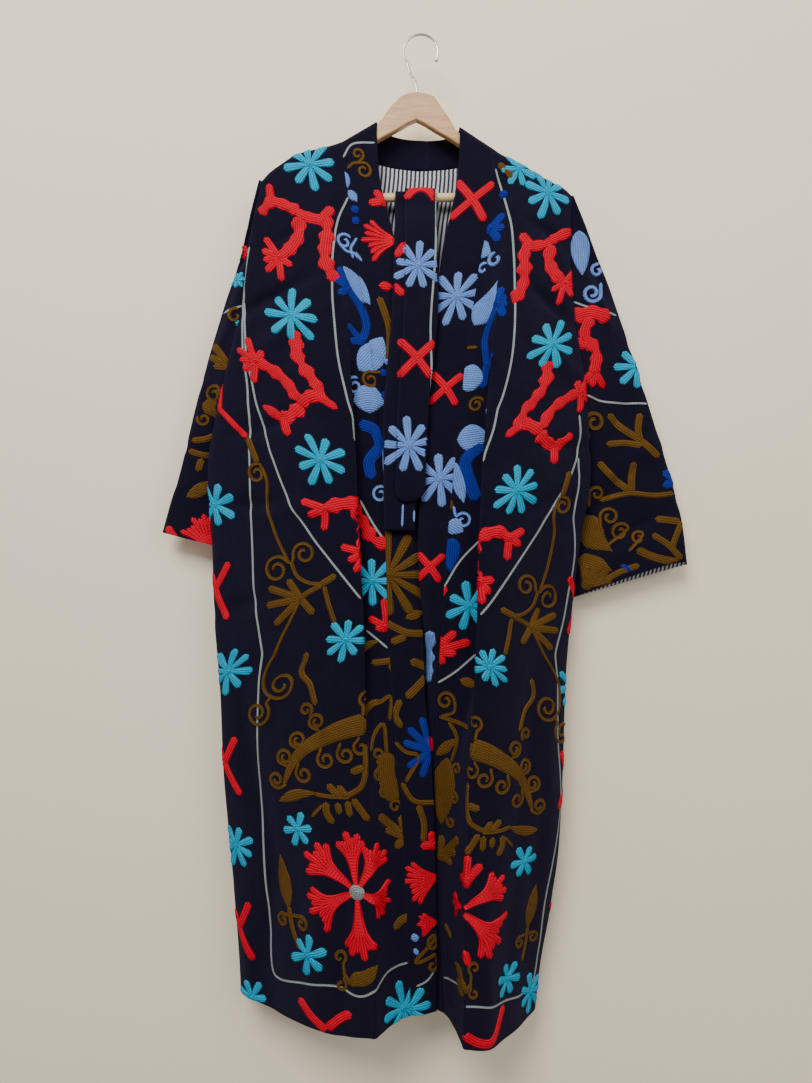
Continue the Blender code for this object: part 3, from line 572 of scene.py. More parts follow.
def grid_tree(grid, closed):
    """A search tree over a grid of points, one face for each cell."""
    return BVHTree.FromPolygons(grid.reshape(-1, 3).tolist(),
                                list(grid_cells(*grid.shape[:2], closed)))


class Spread:
    """A panel laid flat: places across it from its seam, and heights, lead to points on it."""
    STEP = 2.0

    def __init__(self, grid, seam_column):
        if grid[:, 0, 0].mean() > grid[:, -1, 0].mean():
            grid = grid[:, ::-1]
        self.grid = grid
        normals = grid_normals(grid, False)[0]
        across = distances_across(grid)
        self.across = across - across[:, [seam_column]]
        self.tree = grid_tree(grid, False)
        self.places = np.arange(self.across.min(), self.across.max() + self.STEP, self.STEP)
        self.heights = np.arange(grid[:, :, 2].min(), grid[:, :, 2].max() + self.STEP, self.STEP)
        both = np.concatenate([grid, normals], axis=2)
        flat = np.empty((len(grid), len(self.places), 6))
        for j in range(len(grid)):
            for c in range(6):
                flat[j, :, c] = np.interp(self.places, self.across[j], both[j, :, c])
        self.top, self.hem = flat[0, :, 2], flat[-1, :, 2]
        self.row_heights = grid[:, :, 2].mean(axis=1)[::-1]
        self.least, self.most = self.across[::-1, 0], self.across[::-1, -1]
        rows = np.arange(len(grid), dtype=float)
        self.table = np.empty((len(self.heights), len(self.places), 6))
        for k in range(len(self.places)):
            row = np.interp(self.heights, flat[::-1, k, 2], rows[::-1])
            low = np.minimum(row.astype(int), len(grid) - 2)
            part = (row - low)[:, None]
            self.table[:, k] = flat[low, k] * (1 - part) + flat[low + 1, k] * part

    def spot(self, u, v):
        """Where a line of sight of the photograph meets the panel, in its flat measures."""
        ray = photo_ray(u, v)
        hit, _, face, _ = self.tree.ray_cast(Vector(CAMERA), ray)
        if hit is None:
            hit, _, face, _ = self.tree.find_nearest(Vector(CAMERA) + ray * TO_BODY)
        across = self.grid.shape[1]
        j, i = divmod(face, across - 1)
        edge = self.grid[j, i + 1] - self.grid[j, i]
        part = np.dot(np.array(hit) - self.grid[j, i], edge) / max(np.dot(edge, edge), 1e-6)
        a = self.across[j, i] + np.clip(part, 0, 1) * (self.across[j, i + 1] - self.across[j, i])
        return np.array([a, hit.z])

    def place(self, flat):
        """Points of the cloth, and the directions out of it, for flat places."""
        k = np.clip((flat[:, 0] - self.places[0]) / self.STEP, 0, len(self.places) - 1.001)
        m = np.clip((flat[:, 1] - self.heights[0]) / self.STEP, 0, len(self.heights) - 1.001)
        k0, m0 = k.astype(int), m.astype(int)
        p, q = (k - k0)[:, None], (m - m0)[:, None]
        table = self.table
        value = ((table[m0, k0] * (1 - p) + table[m0, k0 + 1] * p) * (1 - q)
                 + (table[m0 + 1, k0] * (1 - p) + table[m0 + 1, k0 + 1] * p) * q)
        normal = value[:, 3:]
        low = np.interp(flat[:, 1], self.row_heights, self.least)
        high = np.interp(flat[:, 1], self.row_heights, self.most)
        inside = ((flat[:, 0] > low) & (flat[:, 0] < high)
                  & (flat[:, 1] > self.hem[k0]) & (flat[:, 1] < self.top[k0]))
        return value[:, :3], normal / np.linalg.norm(normal, axis=1)[:, None], inside


class Facing:
    """The side of a piece that faces one way, front -1 or back 1: x and z lead to points on it."""

    def __init__(self, grid, closed, toward):
        self.tree = grid_tree(grid, closed)
        self.toward = toward

    def spot(self, u, v):
        """Where a line of sight of the photograph meets the piece, as x and z."""
        ray = photo_ray(u, v)
        hit = self.tree.ray_cast(Vector(CAMERA), ray)[0]
        if hit is None:
            hit = self.tree.find_nearest(Vector(CAMERA) + ray * TO_SLEEVE)[0]
        return np.array([hit.x, hit.z])

    def place(self, flat):
        """Points of the cloth, and the directions out of it, for places given as x and z."""
        points, normals, inside = [], [], []
        way = Vector((0, -self.toward, 0))
        for x, z in flat:
            hit, normal, _, _ = self.tree.ray_cast(Vector((x, self.toward * CLEAR, z)), way)
            inside.append(hit is not None)
            if hit is None:
                hit, normal, _, _ = self.tree.find_nearest(Vector((x, SLEEVE_MIDDLE, z)))
            if normal.y * self.toward < 0:
                normal = -normal
            points.append(hit)
            normals.append(normal)
        return np.array(points), np.array(normals), np.array(inside)


# Stitching
COLOURS = ("red", "turquoise", "light_blue", "royal_blue", "brown", "line")
RISE = 1.5          # how far filled stitching stands out from the cloth
LINE_RISE = 0.9     # the same for a single line of chain stitch
LEAST_HALF = 0.12   # half width of a strip at its very end
# A strip's section: places across it, and how high each is
PROFILE = ((-1.0, -0.6), (-0.9, 0.5), (-0.55, 0.9), (0.0, 1.0), (0.55, 0.9), (0.9, 0.5),
           (1.0, -0.6))


def smooth_path(points, step=3.0):
    """A rounded line through a few points, in even short steps."""
    points = np.asarray(points, float)
    lengths = np.linalg.norm(np.diff(points, axis=0), axis=1)
    line = curve_through(points, [max(2, int(length / step)) for length in lengths])
    places = distances(line)
    count = max(4, int(places[-1] / step))
    even = np.linspace(0, places[-1], count + 1)
    return np.stack([np.interp(even, places, line[:, c]) for c in range(2)], axis=1)


def make_piece(name, points, faces, materials, slots, map_name, flat):
    """A smooth mesh with its materials and a flat map, both in millimetres, on the one body."""
    mesh = bpy.data.meshes.new(name)
    mesh.from_pydata((points * 0.001).tolist(), [], faces)
    for material in materials:
        mesh.materials.append(material)
    mesh.polygons.foreach_set("material_index", slots)
    mesh.polygons.foreach_set("use_smooth", [True] * len(faces))
    corner = np.array([v for face in faces for v in face])
    mesh.uv_layers.new(name=map_name).data.foreach_set("uv", flat[corner].ravel())
    made = bpy.data.objects.new(name, mesh)
    bpy.context.scene.collection.objects.link(made)
    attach(made, "root")
    return made


class Needlework:
    """The stitching on one piece of cloth: domed strips and discs gathered into one mesh."""

    def __init__(self, name, surface):
        self.name = name
        self.surface = surface
        self.flat, self.rise, self.uvs, self.faces, self.shades = [], [], [], [], []
        self.count = 0

    def spots(self, places):
        """Flat places on the cloth of several places in the photograph."""
        return np.array([self.surface.spot(u, v) for u, v in places])

    def pen(self, u, v, home=None, flip=1.0, rise=1.0, scale=1.0, turn=0.0):
        """A pen at a place in the photograph, for motifs drawn about that place or another."""
        return Pen(self, self.surface.spot(u, v), home or (u, v), flip, rise, scale, turn)

    def bloom(self, u, v, radius, petals, turn=0.0, colour="turquoise"):
        """A daisy at a place in the photograph."""
        self.pen(u, v).daisy(colour, (u, v), radius, petals, turn)

    def add_rows(self, flat, rise, uvs, colour):
        """A grid of flat points, with its heights and thread measures, as faces of one colour."""
        for cell in grid_cells(*rise.shape):
            self.faces.append(tuple(self.count + corner for corner in cell))
            self.shades.append(COLOURS.index(colour))
        self.flat.append(flat.reshape(-1, 2))
        self.rise.append(rise.ravel())
        self.uvs.append(uvs.reshape(-1, 2))
        self.count += rise.size

    def strip(self, path, half, colour, rise=RISE):
        """A domed strip of stitching along a flat path, of a half width at each point."""
        half = np.maximum(half, LEAST_HALF)
        way = np.gradient(path, axis=0)
        way /= np.maximum(np.linalg.norm(way, axis=1), 1e-9)[:, None]
        side = np.stack([-way[:, 1], way[:, 0]], axis=1)
        places = distances(path)
        flat = np.stack([path + side * (half * s)[:, None] for s, _ in PROFILE], axis=1)
        thin = np.clip(half / 2.5, 0.25, 1.0)
        heights = np.stack([rise * h * thin for _, h in PROFILE], axis=1)
        uvs = np.stack([np.stack([places, half * s], axis=1) for s, _ in PROFILE], axis=1)
        self.add_rows(flat, heights, uvs, colour)

    def stroke(self, flat, width, colour, waver=0.0, rise=RISE, point=0.0):
        """A strip with rounded ends, or a pointed far end, its edges wavering a little."""
        path = smooth_path(flat)
        places = distances(path)
        reach = width / 2.0
        first = round_off(np.clip(places / reach, 0.0, 1.0))
        last = np.clip((places[-1] - places) / max(reach, point), 0.0, 1.0)
        last = last if point else round_off(last)
        edge = 1.0 + waver * (np.sin(places / 3.1 + flat[0][0]) + 0.5 * np.sin(places / 5.3))
        self.strip(path, reach * first * last * edge, colour, rise)

    def line(self, places, colour="line", width=3.0):
        """A single line of chain stitch through places in the photograph."""
        self.stroke(self.spots(places), width, colour, rise=LINE_RISE)

    def leaf(self, start, end, width, colour, bow=0.0, belly=0.45):
        """A pointed leaf from one flat place to another, bowed to one side."""
        start, end = np.asarray(start, float), np.asarray(end, float)
        way = end - start
        side = np.array([-way[1], way[0]]) / np.linalg.norm(way)
        path = smooth_path([start, (start + end) / 2 + side * bow, end])
        t = np.linspace(0, 1, len(path))
        shape = np.sin(np.pi * t ** (math.log(0.5) / math.log(belly))) ** 0.8
        self.strip(path, shape * width / 2, colour)

    def petal(self, centre, angle, inner, outer, width, colour, neck=0.4):
        """A petal pointing away from a centre, narrow there and round at its end."""
        way = np.array([math.cos(math.radians(angle)), math.sin(math.radians(angle))])
        count = max(5, int((outer - inner) / 2.6))
        places = np.linspace(inner, outer, count + 1)
        path = np.asarray(centre) + places[:, None] * way
        t = (places - inner) / (outer - inner)
        shape = neck + (1 - neck) * np.sin(np.pi * np.clip(t, 0, 1) * 0.62) / 0.93
        shape = shape * round_off(np.clip((outer - places) / (width / 2), 0.0, 1.0))
        self.strip(path, shape * width / 2, colour)

    def disc(self, centre, radius, colour, rise=RISE * 1.15):
        """A domed round of stitching."""
        angles = np.linspace(0, 2 * np.pi, 17)
        rings = ((0.02, 1.0), (0.45, 0.95), (0.8, 0.7), (1.0, -0.5))
        flat = np.stack([np.stack([centre[0] + radius * r * np.cos(angles),
                                   centre[1] + radius * r * np.sin(angles)], 1)
                         for r, _ in rings])
        heights = np.stack([np.full(len(angles), rise * h) for _, h in rings])
        uvs = np.stack([np.stack([angles * radius * r, np.full(len(angles), radius * r)], 1)
                        for r, _ in rings])
        self.add_rows(flat, heights, uvs, colour)

    def daisy(self, centre, radius, colour, petals=8, turn=0.0):
        """A flower of round petals, each a little different."""
        for k in range(petals):
            angle = turn + 360.0 * k / petals
            long = radius * (1.0 + 0.09 * math.sin(2.3 * k + centre[0]))
            self.petal(centre, angle, radius * 0.1, long, radius * 1.9 / petals + 3.6, colour)
        self.disc(centre, radius * 0.24, colour)

    def build(self):
        """Raise the gathered stitching off the cloth and make it one mesh."""
        flat = np.concatenate(self.flat)
        points, normals, inside = self.surface.place(flat)
        heights = WALL / 2 + np.concatenate(self.rise)
        shown = [k for k, face in enumerate(self.faces) if any(inside[v] for v in face)]
        make_piece(self.name, points + normals * heights[:, None], [self.faces[k] for k in shown],
                   [bpy.data.materials["thread_" + colour] for colour in COLOURS],
                   [self.shades[k] for k in shown], "Thread", np.concatenate(self.uvs))


STEP = 1.34         # millimetres of cloth to one step of the photograph
FULL = 1.15         # stitching spreads a little past its drawn width


class Pen:
    """Draws motifs about an anchor on the cloth, in the photograph's steps right and down."""

    def __init__(self, work, anchor, home, flip=1.0, rise=1.0, scale=1.0, turn=0.0):
        self.work = work
        self.anchor = np.asarray(anchor, float)
        self.home = np.asarray(home, float)
        self.way = np.array([flip, -rise]) * scale * STEP
        self.size = scale * STEP
        self.turn = math.radians(turn)

    def put(self, points):
        """Flat places on the cloth for places of the drawing."""
        away = (np.asarray(points, float).reshape(-1, 2) - self.home) * self.way
        c, s = math.cos(self.turn), math.sin(self.turn)
        return self.anchor + away @ np.array([[c, s], [-s, c]])

    def stroke(self, colour, width, *points, waver=0.0, point=0.0):
        """A rounded strip through the points."""
        width = width * self.size * FULL
        self.work.stroke(self.put(points), width, colour, waver * 1.3, point=point)

    def strokes(self, colour, *parts):
        """Several rounded strips of one colour, each given as its width and its points."""
        for width, *points in parts:
            self.stroke(colour, width, *points)

    def leaf(self, colour, width, start, end, bow=0.0, belly=0.45):
        """A pointed leaf between two points."""
        ends = self.put([start, end])
        self.work.leaf(ends[0], ends[1], width * self.size * FULL, colour, bow * self.size, belly)

    def daisy(self, colour, centre, radius, petals=8, turn=0.0):
        """A flower of round petals."""
        self.work.daisy(self.put(centre)[0], radius * self.size, colour, petals, turn)

    def dot(self, colour, centre, radius):
        """A small filled round."""
        self.work.disc(self.put(centre)[0], radius * self.size, colour)

    def hand(self, colour, width, centre, *tips):
        """Fingers from one place to several."""
        for tip in tips:
            self.stroke(colour, width, centre, tip)
        self.dot(colour, centre, width * 0.75)

    def curl(self, centre, radius, start, turns, *tail, colour="brown", width=3.3):
        """A curl wound inward from an angle, counted from the right over the top."""
        count = max(10, int(abs(turns) * 16))
        t = np.linspace(0, 1, count)
        angle = math.radians(start) + 2 * np.pi * turns * t
        reach = radius * (1 - 0.74 * t)
        path = [(centre[0] + r * math.cos(a), centre[1] - r * math.sin(a))
                for r, a in zip(reach, angle)]
        self.stroke(colour, width, *tail, *path)

    def fan(self, centre, reach, angle, spread=20.0, colour="red", waist=0.45):
        """A petal with a fingered end: the fingers run close together from its point, then part."""
        count = 5 + int(spread / 13)
        for k in range(count):
            share = 2 * k / (count - 1) - 1
            close = math.radians(angle + spread * share * waist)
            turned = math.radians(angle + spread * share)
            long = (0.9, 1.0, 0.93, 1.04, 0.88)[k % 5]
            places = [(centre[0] + reach * out * math.cos(way),
                       centre[1] - reach * out * math.sin(way))
                      for out, way in ((0.1, close), (0.6, close), (long, turned))]
            self.fan_finger(self.put(places), (3.0 + reach * 0.085) * self.size, colour)

    def fan_finger(self, ends, width, colour):
        """One part of a fan, narrow at its start and round at its end."""
        path = smooth_path(ends)
        t = np.linspace(0, 1, len(path))
        left = np.linalg.norm(path - path[-1], axis=1) / (width / 2)
        shape = (0.3 + 0.7 * t ** 0.8) * round_off(np.clip(left, 0, 1))
        self.work.strip(path, shape * width / 2, colour)


# Materials
class Recipe:
    """One material and short ways to add and join its nodes."""

    def __init__(self, name, roughness=0.9):
        self.made = bpy.data.materials.new(name)
        self.made.use_nodes = True
        self.tree = self.made.node_tree
        self.shader = self.tree.nodes["Principled BSDF"]
        self.shader.inputs["Roughness"].default_value = roughness

    def add(self, kind, **settings):
        """A new node with its settings."""
        node = self.tree.nodes.new(kind)
        for name, value in settings.items():
            setattr(node, name, value)
        return node

    def join(self, value, socket):
        """Put a number, a colour or another node's output into a socket."""
        if isinstance(value, bpy.types.NodeSocket):
            self.tree.links.new(value, socket)
        else:
            socket.default_value = value

    def sum(self, operation, first, second=0.0, third=0.0):
        """The output of one step of arithmetic."""
        node = self.add("ShaderNodeMath", operation=operation)
        for value, socket in zip((first, second, third), node.inputs):
            self.join(value, socket)
        return node.outputs[0]

    def measures(self, name):
        """The two outputs of a map laid on the mesh in millimetres."""
        source = self.add("ShaderNodeUVMap", uv_map=name)
        parts = self.add("ShaderNodeSeparateXYZ")
        self.join(source.outputs[0], parts.inputs[0])
        return parts.outputs[0], parts.outputs[1]

    def noise(self, size, detail=2.0, stretch=(1.0, 1.0, 1.0)):
        """Soft mottling with patches of a size in metres."""
        place = self.add("ShaderNodeTexCoord")
        mapping = self.add("ShaderNodeMapping")
        mapping.inputs["Scale"].default_value = stretch
        self.join(place.outputs["Object"], mapping.inputs["Vector"])
        node = self.add("ShaderNodeTexNoise")
        node.inputs["Scale"].default_value = 1.0 / size
        node.inputs["Detail"].default_value = detail
        self.join(mapping.outputs[0], node.inputs["Vector"])
        return node.outputs["Fac"]

    def between(self, share, low, high):
        """A colour between two, by a share from nothing to one."""
        node = self.add("ShaderNodeMix", data_type="RGBA")
        self.join(share, node.inputs[0])
        node.inputs[6].default_value = (*low, 1.0)
        node.inputs[7].default_value = (*high, 1.0)
        return node.outputs[2]

    def raise_by(self, height, distance, strength=1.0):
        """Fine relief on the surface."""
        node = self.add("ShaderNodeBump")
        node.inputs["Strength"].default_value = strength
        node.inputs["Distance"].default_value = distance
        self.join(height, node.inputs["Height"])
        self.join(node.outputs[0], self.shader.inputs["Normal"])


def cotton_material():
    """Dark blue-black cotton, a little mottled and faintly napped."""
    recipe = Recipe("navy_cotton", 0.92)
    shade = recipe.between(recipe.noise(0.03, 4.0), (0.0019, 0.0014, 0.0076),
                           (0.0054, 0.0040, 0.0154))
    recipe.join(shade, recipe.shader.inputs["Base Color"])
    across, down = recipe.measures("Cloth")
    weave = recipe.sum("MULTIPLY", recipe.sum("SINE", recipe.sum("MULTIPLY", across, 4.2)),
                       recipe.sum("SINE", recipe.sum("MULTIPLY", down, 4.2)))
    rumple = recipe.sum("MULTIPLY_ADD", recipe.noise(0.03, 4.0, (1.0, 1.0, 0.7)), 22.0, weave)
    recipe.raise_by(rumple, 0.0005, 0.7)
    recipe.shader.inputs["Sheen Weight"].default_value = 0.07
    recipe.shader.inputs["Sheen Tint"].default_value = (0.5, 0.42, 1.0, 1.0)
    recipe.shader.inputs["Sheen Roughness"].default_value = 0.6
    recipe.shader.inputs["Specular IOR Level"].default_value = 0.09
    return recipe.made


def stripe_material():
    """The lining: narrow dark stripes on greyish white, a little wider white than dark."""
    recipe = Recipe("striped_lining", 0.88)
    across, down = recipe.measures("Cloth")
    slant = recipe.sum("MULTIPLY_ADD", down, 0.03, across)
    wander = recipe.sum("MULTIPLY_ADD", recipe.noise(0.05), 1.6, slant)
    wave = recipe.sum("SINE", recipe.sum("MULTIPLY", wander, 2 * math.pi / 5.9))
    edge = recipe.sum("MULTIPLY_ADD", wave, 2.2, 0.52)
    share = recipe.sum("MINIMUM", recipe.sum("MAXIMUM", edge, 0.0), 1.0)
    shade = recipe.between(share, (0.016, 0.016, 0.035), (0.5, 0.5, 0.55))
    recipe.join(shade, recipe.shader.inputs["Base Color"])
    recipe.raise_by(recipe.noise(0.006, 3.0), 0.0006, 0.5)
    return recipe.made


THREADS = {
    "red": (0.6, 0.0005, 0.02),
    "turquoise": (0.0, 0.335, 0.56),
    "light_blue": (0.13, 0.25, 0.62),
    "royal_blue": (0.006, 0.02, 0.25),
    "brown": (0.11, 0.053, 0.0075),
    "line": (0.25, 0.3, 0.3),
}
ROW_WIDTH = 3.0     # one row of chain stitch
STITCH = 4.2        # one stitch along its row


def thread_material(name, rgb):
    """Rows of chain stitch in one colour of thread, worn unevenly, with painted shade in the grooves
    between rows and stitches and lighter painted crowns.
    """
    recipe = Recipe("thread_" + name, 0.72)
    along_thread, across = recipe.measures("Thread")
    row = recipe.sum("MULTIPLY_ADD", across, 1.0 / ROW_WIDTH, 0.5)
    off = recipe.sum("ABSOLUTE", recipe.sum("SUBTRACT", recipe.sum("FRACT", row), 0.5))
    bulge = recipe.sum("SUBTRACT", 1.0, recipe.sum("MULTIPLY", recipe.sum("POWER", off, 2.0), 4.0))
    offset = recipe.sum("MULTIPLY", recipe.sum("FLOOR", row), 0.37)
    chevron = recipe.sum("MULTIPLY_ADD", off, 1.3, offset)
    step = recipe.sum("FRACT", recipe.sum("MULTIPLY_ADD", along_thread, 1.0 / STITCH, chevron))
    link = recipe.sum("SINE", recipe.sum("MULTIPLY", step, math.pi))
    height = recipe.sum("MULTIPLY_ADD", bulge, 0.6, recipe.sum("MULTIPLY", link, 0.4))
    worn = recipe.sum("MULTIPLY_ADD", recipe.noise(0.009, 3.0), 0.5, 0.2)
    # Painted shade: the colour follows the stitch relief as well as the uneven wear, so the grooves
    # between rows and stitches are painted darker (low) and the rows' crowns lighter (high).
    share = recipe.sum("MULTIPLY_ADD", height, 0.55, worn)
    low = tuple(part * 0.25 for part in rgb)
    high = tuple(part * 1.2 for part in rgb)
    recipe.join(recipe.between(share, low, high), recipe.shader.inputs["Base Color"])
    recipe.raise_by(height, 0.0014, 1.0)
    recipe.shader.inputs["Specular IOR Level"].default_value = 0.12
    return recipe.made


def wood_material(name, low, high, grain):
    """Lacquered wood with grain along it."""
    recipe = Recipe(name, 0.38)
    lines = recipe.noise(grain, 5.0, (0.12, 1.0, 1.0))
    share = recipe.sum("MULTIPLY_ADD", lines, 2.2, -0.6)
    recipe.join(recipe.between(share, low, high), recipe.shader.inputs["Base Color"])
    recipe.raise_by(lines, 0.0002, 0.4)
    return recipe.made


def metal_material():
    """Plated wire with faint smears."""
    recipe = Recipe("plated_wire", 0.28)
    recipe.join(recipe.between(recipe.noise(0.01), (0.5, 0.49, 0.46), (0.72, 0.71, 0.68)),
                recipe.shader.inputs["Base Color"])
    recipe.shader.inputs["Metallic"].default_value = 1.0
    return recipe.made


def wall_material():
    """A plastered wall, warm white, with slow changes of tone, clear from its far side."""
    recipe = Recipe("plaster", 0.9)
    recipe.join(recipe.between(recipe.noise(0.5), (0.935, 0.85, 0.655), (0.985, 0.905, 0.725)),
                recipe.shader.inputs["Base Color"])
    recipe.raise_by(recipe.noise(0.008, 4.0), 0.0006, 0.35)
    side = recipe.add("ShaderNodeNewGeometry").outputs["Backfacing"]
    blend = recipe.add("ShaderNodeMixShader")
    recipe.join(side, blend.inputs[0])
    recipe.join(recipe.shader.outputs[0], blend.inputs[1])
    recipe.join(recipe.add("ShaderNodeBsdfTransparent").outputs[0], blend.inputs[2])
    recipe.join(blend.outputs[0], recipe.tree.nodes["Material Output"].inputs[0])
    return recipe.made


cotton = cotton_material()
stripes = stripe_material()
for thread_name, thread_rgb in THREADS.items():
    thread_material(thread_name, thread_rgb)


# Cloth
def add_cloth(node, grid, outer, inner, facing=-1.0, closed=False, thickness=WALL, lined_from=0):
    """A wall of even thickness about a grid, in place of a solid: outer is its face toward
    facing, and inner the other face, from one of its rows down."""
    name = node.replace("lining_cuff_left", "lining_cuff") + "_cloth"
    normals, turned = grid_normals(grid, closed, facing)
    rows, across = grid.shape[:2]
    points = np.concatenate([(grid + normals * thickness / 2).reshape(-1, 3),
                             (grid - normals * thickness / 2).reshape(-1, 3)])
    base = rows * across
    last = across if closed else across - 1
    faces, sides = [], []
    for place, cell in enumerate(grid_cells(rows, across, closed)):
        cell = cell[::-1] if turned else cell
        faces += [cell, tuple(base + corner for corner in cell[::-1])]
        sides += [0, int(place // last >= lined_from)]
    rim = [(i, (i + 1) % across) for i in range(last)]
    rim += [((rows - 1) * across + (i + 1) % across, (rows - 1) * across + i)
            for i in range(last)]
    if not closed:
        rim += [((j + 1) * across, j * across) for j in range(rows - 1)]
        rim += [(j * across + across - 1, (j + 1) * across + across - 1)
                for j in range(rows - 1)]
    for a, b in rim:
        edge = (a, base + a, base + b, b)
        faces.append(edge[::-1] if turned else edge)
        sides.append(0)
    over = distances_across(grid)
    over -= over[:, [across // 2]]
    down = np.linalg.norm(np.diff(grid, axis=0), axis=2).mean(axis=1)
    down = np.repeat(np.concatenate([[0.0], np.cumsum(down)])[:, None], across, axis=1)
    flat = np.stack([over, down], axis=2).reshape(-1, 2)
    made = make_piece(name, points, faces, (outer, inner), sides, "Cloth",
                      np.concatenate([flat, flat]))
    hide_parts(node)
    return made


# Creases: start x and z, end x and z, depth and half width; a depth below nothing is a ridge
CREASES_FRONT_RIGHT = (
    (-250, -395, -150, -335, 3.2, 9), (-228, -430, -120, -385, -2.2, 12),
    (-262, -560, -170, -520, 2.4, 11), (-286, -640, -190, -640, 2.6, 9),
    (-200, -660, -110, -645, -1.8, 12), (-210, -290, -150, -262, 2.0, 8),
    (-275, -800, -205, -760, 2.2, 12), (-170, -900, -110, -1010, 2.4, 14),
    (-235, -905, -200, -1130, 3.0, 16), (-150, -1085, -135, -1300, -3.6, 17),
    (-205, -1120, -196, -1325, 3.8, 15), (-105, -1120, -96, -1330, 3.0, 11),
    (-185, -470, -120, -560, 1.6, 14), (-245, -1180, -238, -1320, -2.4, 10),
)
CREASES_FRONT_LEFT = (
    (215, -400, 130, -345, 3.0, 10), (222, -470, 150, -430, -2.2, 12),
    (228, -560, 150, -575, 2.6, 10), (205, -640, 110, -660, 2.0, 12),
    (150, -260, 195, -300, 2.0, 8), (200, -760, 120, -800, 2.4, 13),
    (150, -880, 128, -1060, 2.6, 13), (180, -900, 172, -1130, -2.2, 12),
    (120, -1060, 112, -1335, 3.6, 14), (160, -1080, 146, -1330, 3.4, 12),
    (86, -1100, 84, -1335, -2.6, 10), (160, -500, 110, -590, 1.5, 14),
)
CREASES_BACK = (
    (-200, -420, -90, -360, 3.0, 12), (170, -430, 70, -370, 2.8, 12),
    (-240, -620, -120, -650, 2.6, 13), (200, -640, 90, -660, 2.4, 12),
    (-60, -300, -20, -520, 2.0, 14), (40, -320, 30, -560, -2.0, 15),
    (-180, -800, -150, -1300, 4.0, 20), (-90, -880, -80, -1310, -3.2, 20),
    (0, -820, -6, -1310, 3.6, 18), (80, -900, 84, -1320, -3.0, 17),
    (140, -860, 130, -1320, 3.2, 16), (-225, -1000, -220, -1300, 2.4, 12),
)
CREASES_SLEEVE_RIGHT = (
    (-232, -262, -272, -350, 2.2, 8), (-245, -330, -285, -440, -1.8, 9),
    (-300, -480, -262, -560, 2.6, 9), (-322, -560, -250, -600, 2.2, 8),
    (-280, -600, -225, -660, -2.0, 10), (-330, -620, -230, -665, 2.0, 8),
)
CREASES_SLEEVE_LEFT = (
    (214, -270, 250, -360, 2.2, 8), (232, -330, 262, -420, -1.8, 9),
    (285, -420, 246, -520, 2.6, 10), (306, -480, 250, -560, 2.4, 9),
    (330, -560, 240, -620, -2.2, 11), (300, -590, 225, -660, 2.2, 9),
    (352, -640, 260, -690, 2.2, 9), (320, -690, 210, -740, -1.8, 10),
)

front_right_grid = creased(front_panel(FRONT_RIGHT, SHOULDER_RIGHT, HEM_RIGHT), False,
                           CREASES_FRONT_RIGHT)
front_left_grid = creased(front_panel(FRONT_LEFT, SHOULDER_LEFT, HEM_LEFT), False,
                          CREASES_FRONT_LEFT)
back_grid = creased(back_panel(), False, CREASES_BACK)
band_right_grid, right_turn = band(FRONT_RIGHT, SHOULDER_RIGHT, HEM_RIGHT, NECK_RIGHT)
band_left_grid, left_turn = band(FRONT_LEFT, SHOULDER_LEFT, HEM_LEFT, NECK_LEFT)
# The bands reach a little under their neighbours, so that no light shows at the seams
for sewn in (band_right_grid, band_left_grid):
    sewn[:, 0] += (sewn[:, 0] - sewn[:, 1]) * 0.5
    sewn[0] += (sewn[0] - sewn[1]) * 0.15
sleeve_right_grid = creased(sleeve(SLEEVE_RIGHT, FRONT_RIGHT, SHOULDER_RIGHT[0][1], 0.0), True,
                            CREASES_SLEEVE_RIGHT)
sleeve_left_grid = creased(sleeve(SLEEVE_LEFT, FRONT_LEFT, SHOULDER_LEFT[-1][1], CUFF_LIFT), True,
                           CREASES_SLEEVE_LEFT)
# The sleeves reach a little into the armholes, for the same reason
for sewn in (sleeve_right_grid, sleeve_left_grid):
    inward = sewn[0] - sewn[4]
    sewn[0] += inward / np.linalg.norm(inward, axis=1)[:, None] * 2.0

LINING = 1.0        # thickness of a lining that hangs by itself
LINED = np.s_[7:-14, 8:-8]      # the part of the back's grid that its lining covers
CUFF_RINGS = 24     # the sleeve's last rings, which the cuff's lining covers
CUFF_RISE = 1.5     # how far the cuff's lining ends above the sleeve
CUFF_SPACE = 0.4    # between the sleeve's cloth and the cuff's lining


def lining_back_panel():
    """The striped lining just inside the back, from under the neckband to above the hem."""
    keep = back_grid[LINED]
    inward = grid_normals(keep, False)[0]
    inward *= -np.sign(inward[:, :, 1:2])
    clear = np.interp(np.arange(len(keep)), (0, 3, 8), (GAP, 0.8, 1.3))
    return keep + inward * (0.5 * WALL + clear + 0.5 * LINING)[:, None, None]


def cuff_lining(grid):
    """The striped lining just inside the last part of a sleeve."""
    part = grid[-CUFF_RINGS:].copy()
    inner = part - grid_normals(part, True)[0] * (0.5 * WALL + CUFF_SPACE + 0.5 * LINING)
    inner[-1, :, 2] += CUFF_RISE
    return inner


def belt_surface():
    """Middle surface of the belt along its run over the bar."""
    table = np.array(BELT, float)
    path = np.stack([table[:, 1], table[:, 0], table[:, 2], table[:, 3]], axis=1)
    steps = np.linalg.norm(np.diff(path[:, :2], axis=0), axis=1)
    counts = [max(1, min(14, int(step / 4.0))) for step in steps]
    line = curve_through(path, counts)
    grid = []
    for z, y, middle, width in line:
        grid.append([(middle + width * share, y - 0.5 * (1 - 4 * share ** 2), z)
                     for share in np.linspace(-0.5, 0.5, 9)])
    return np.array(grid, float)


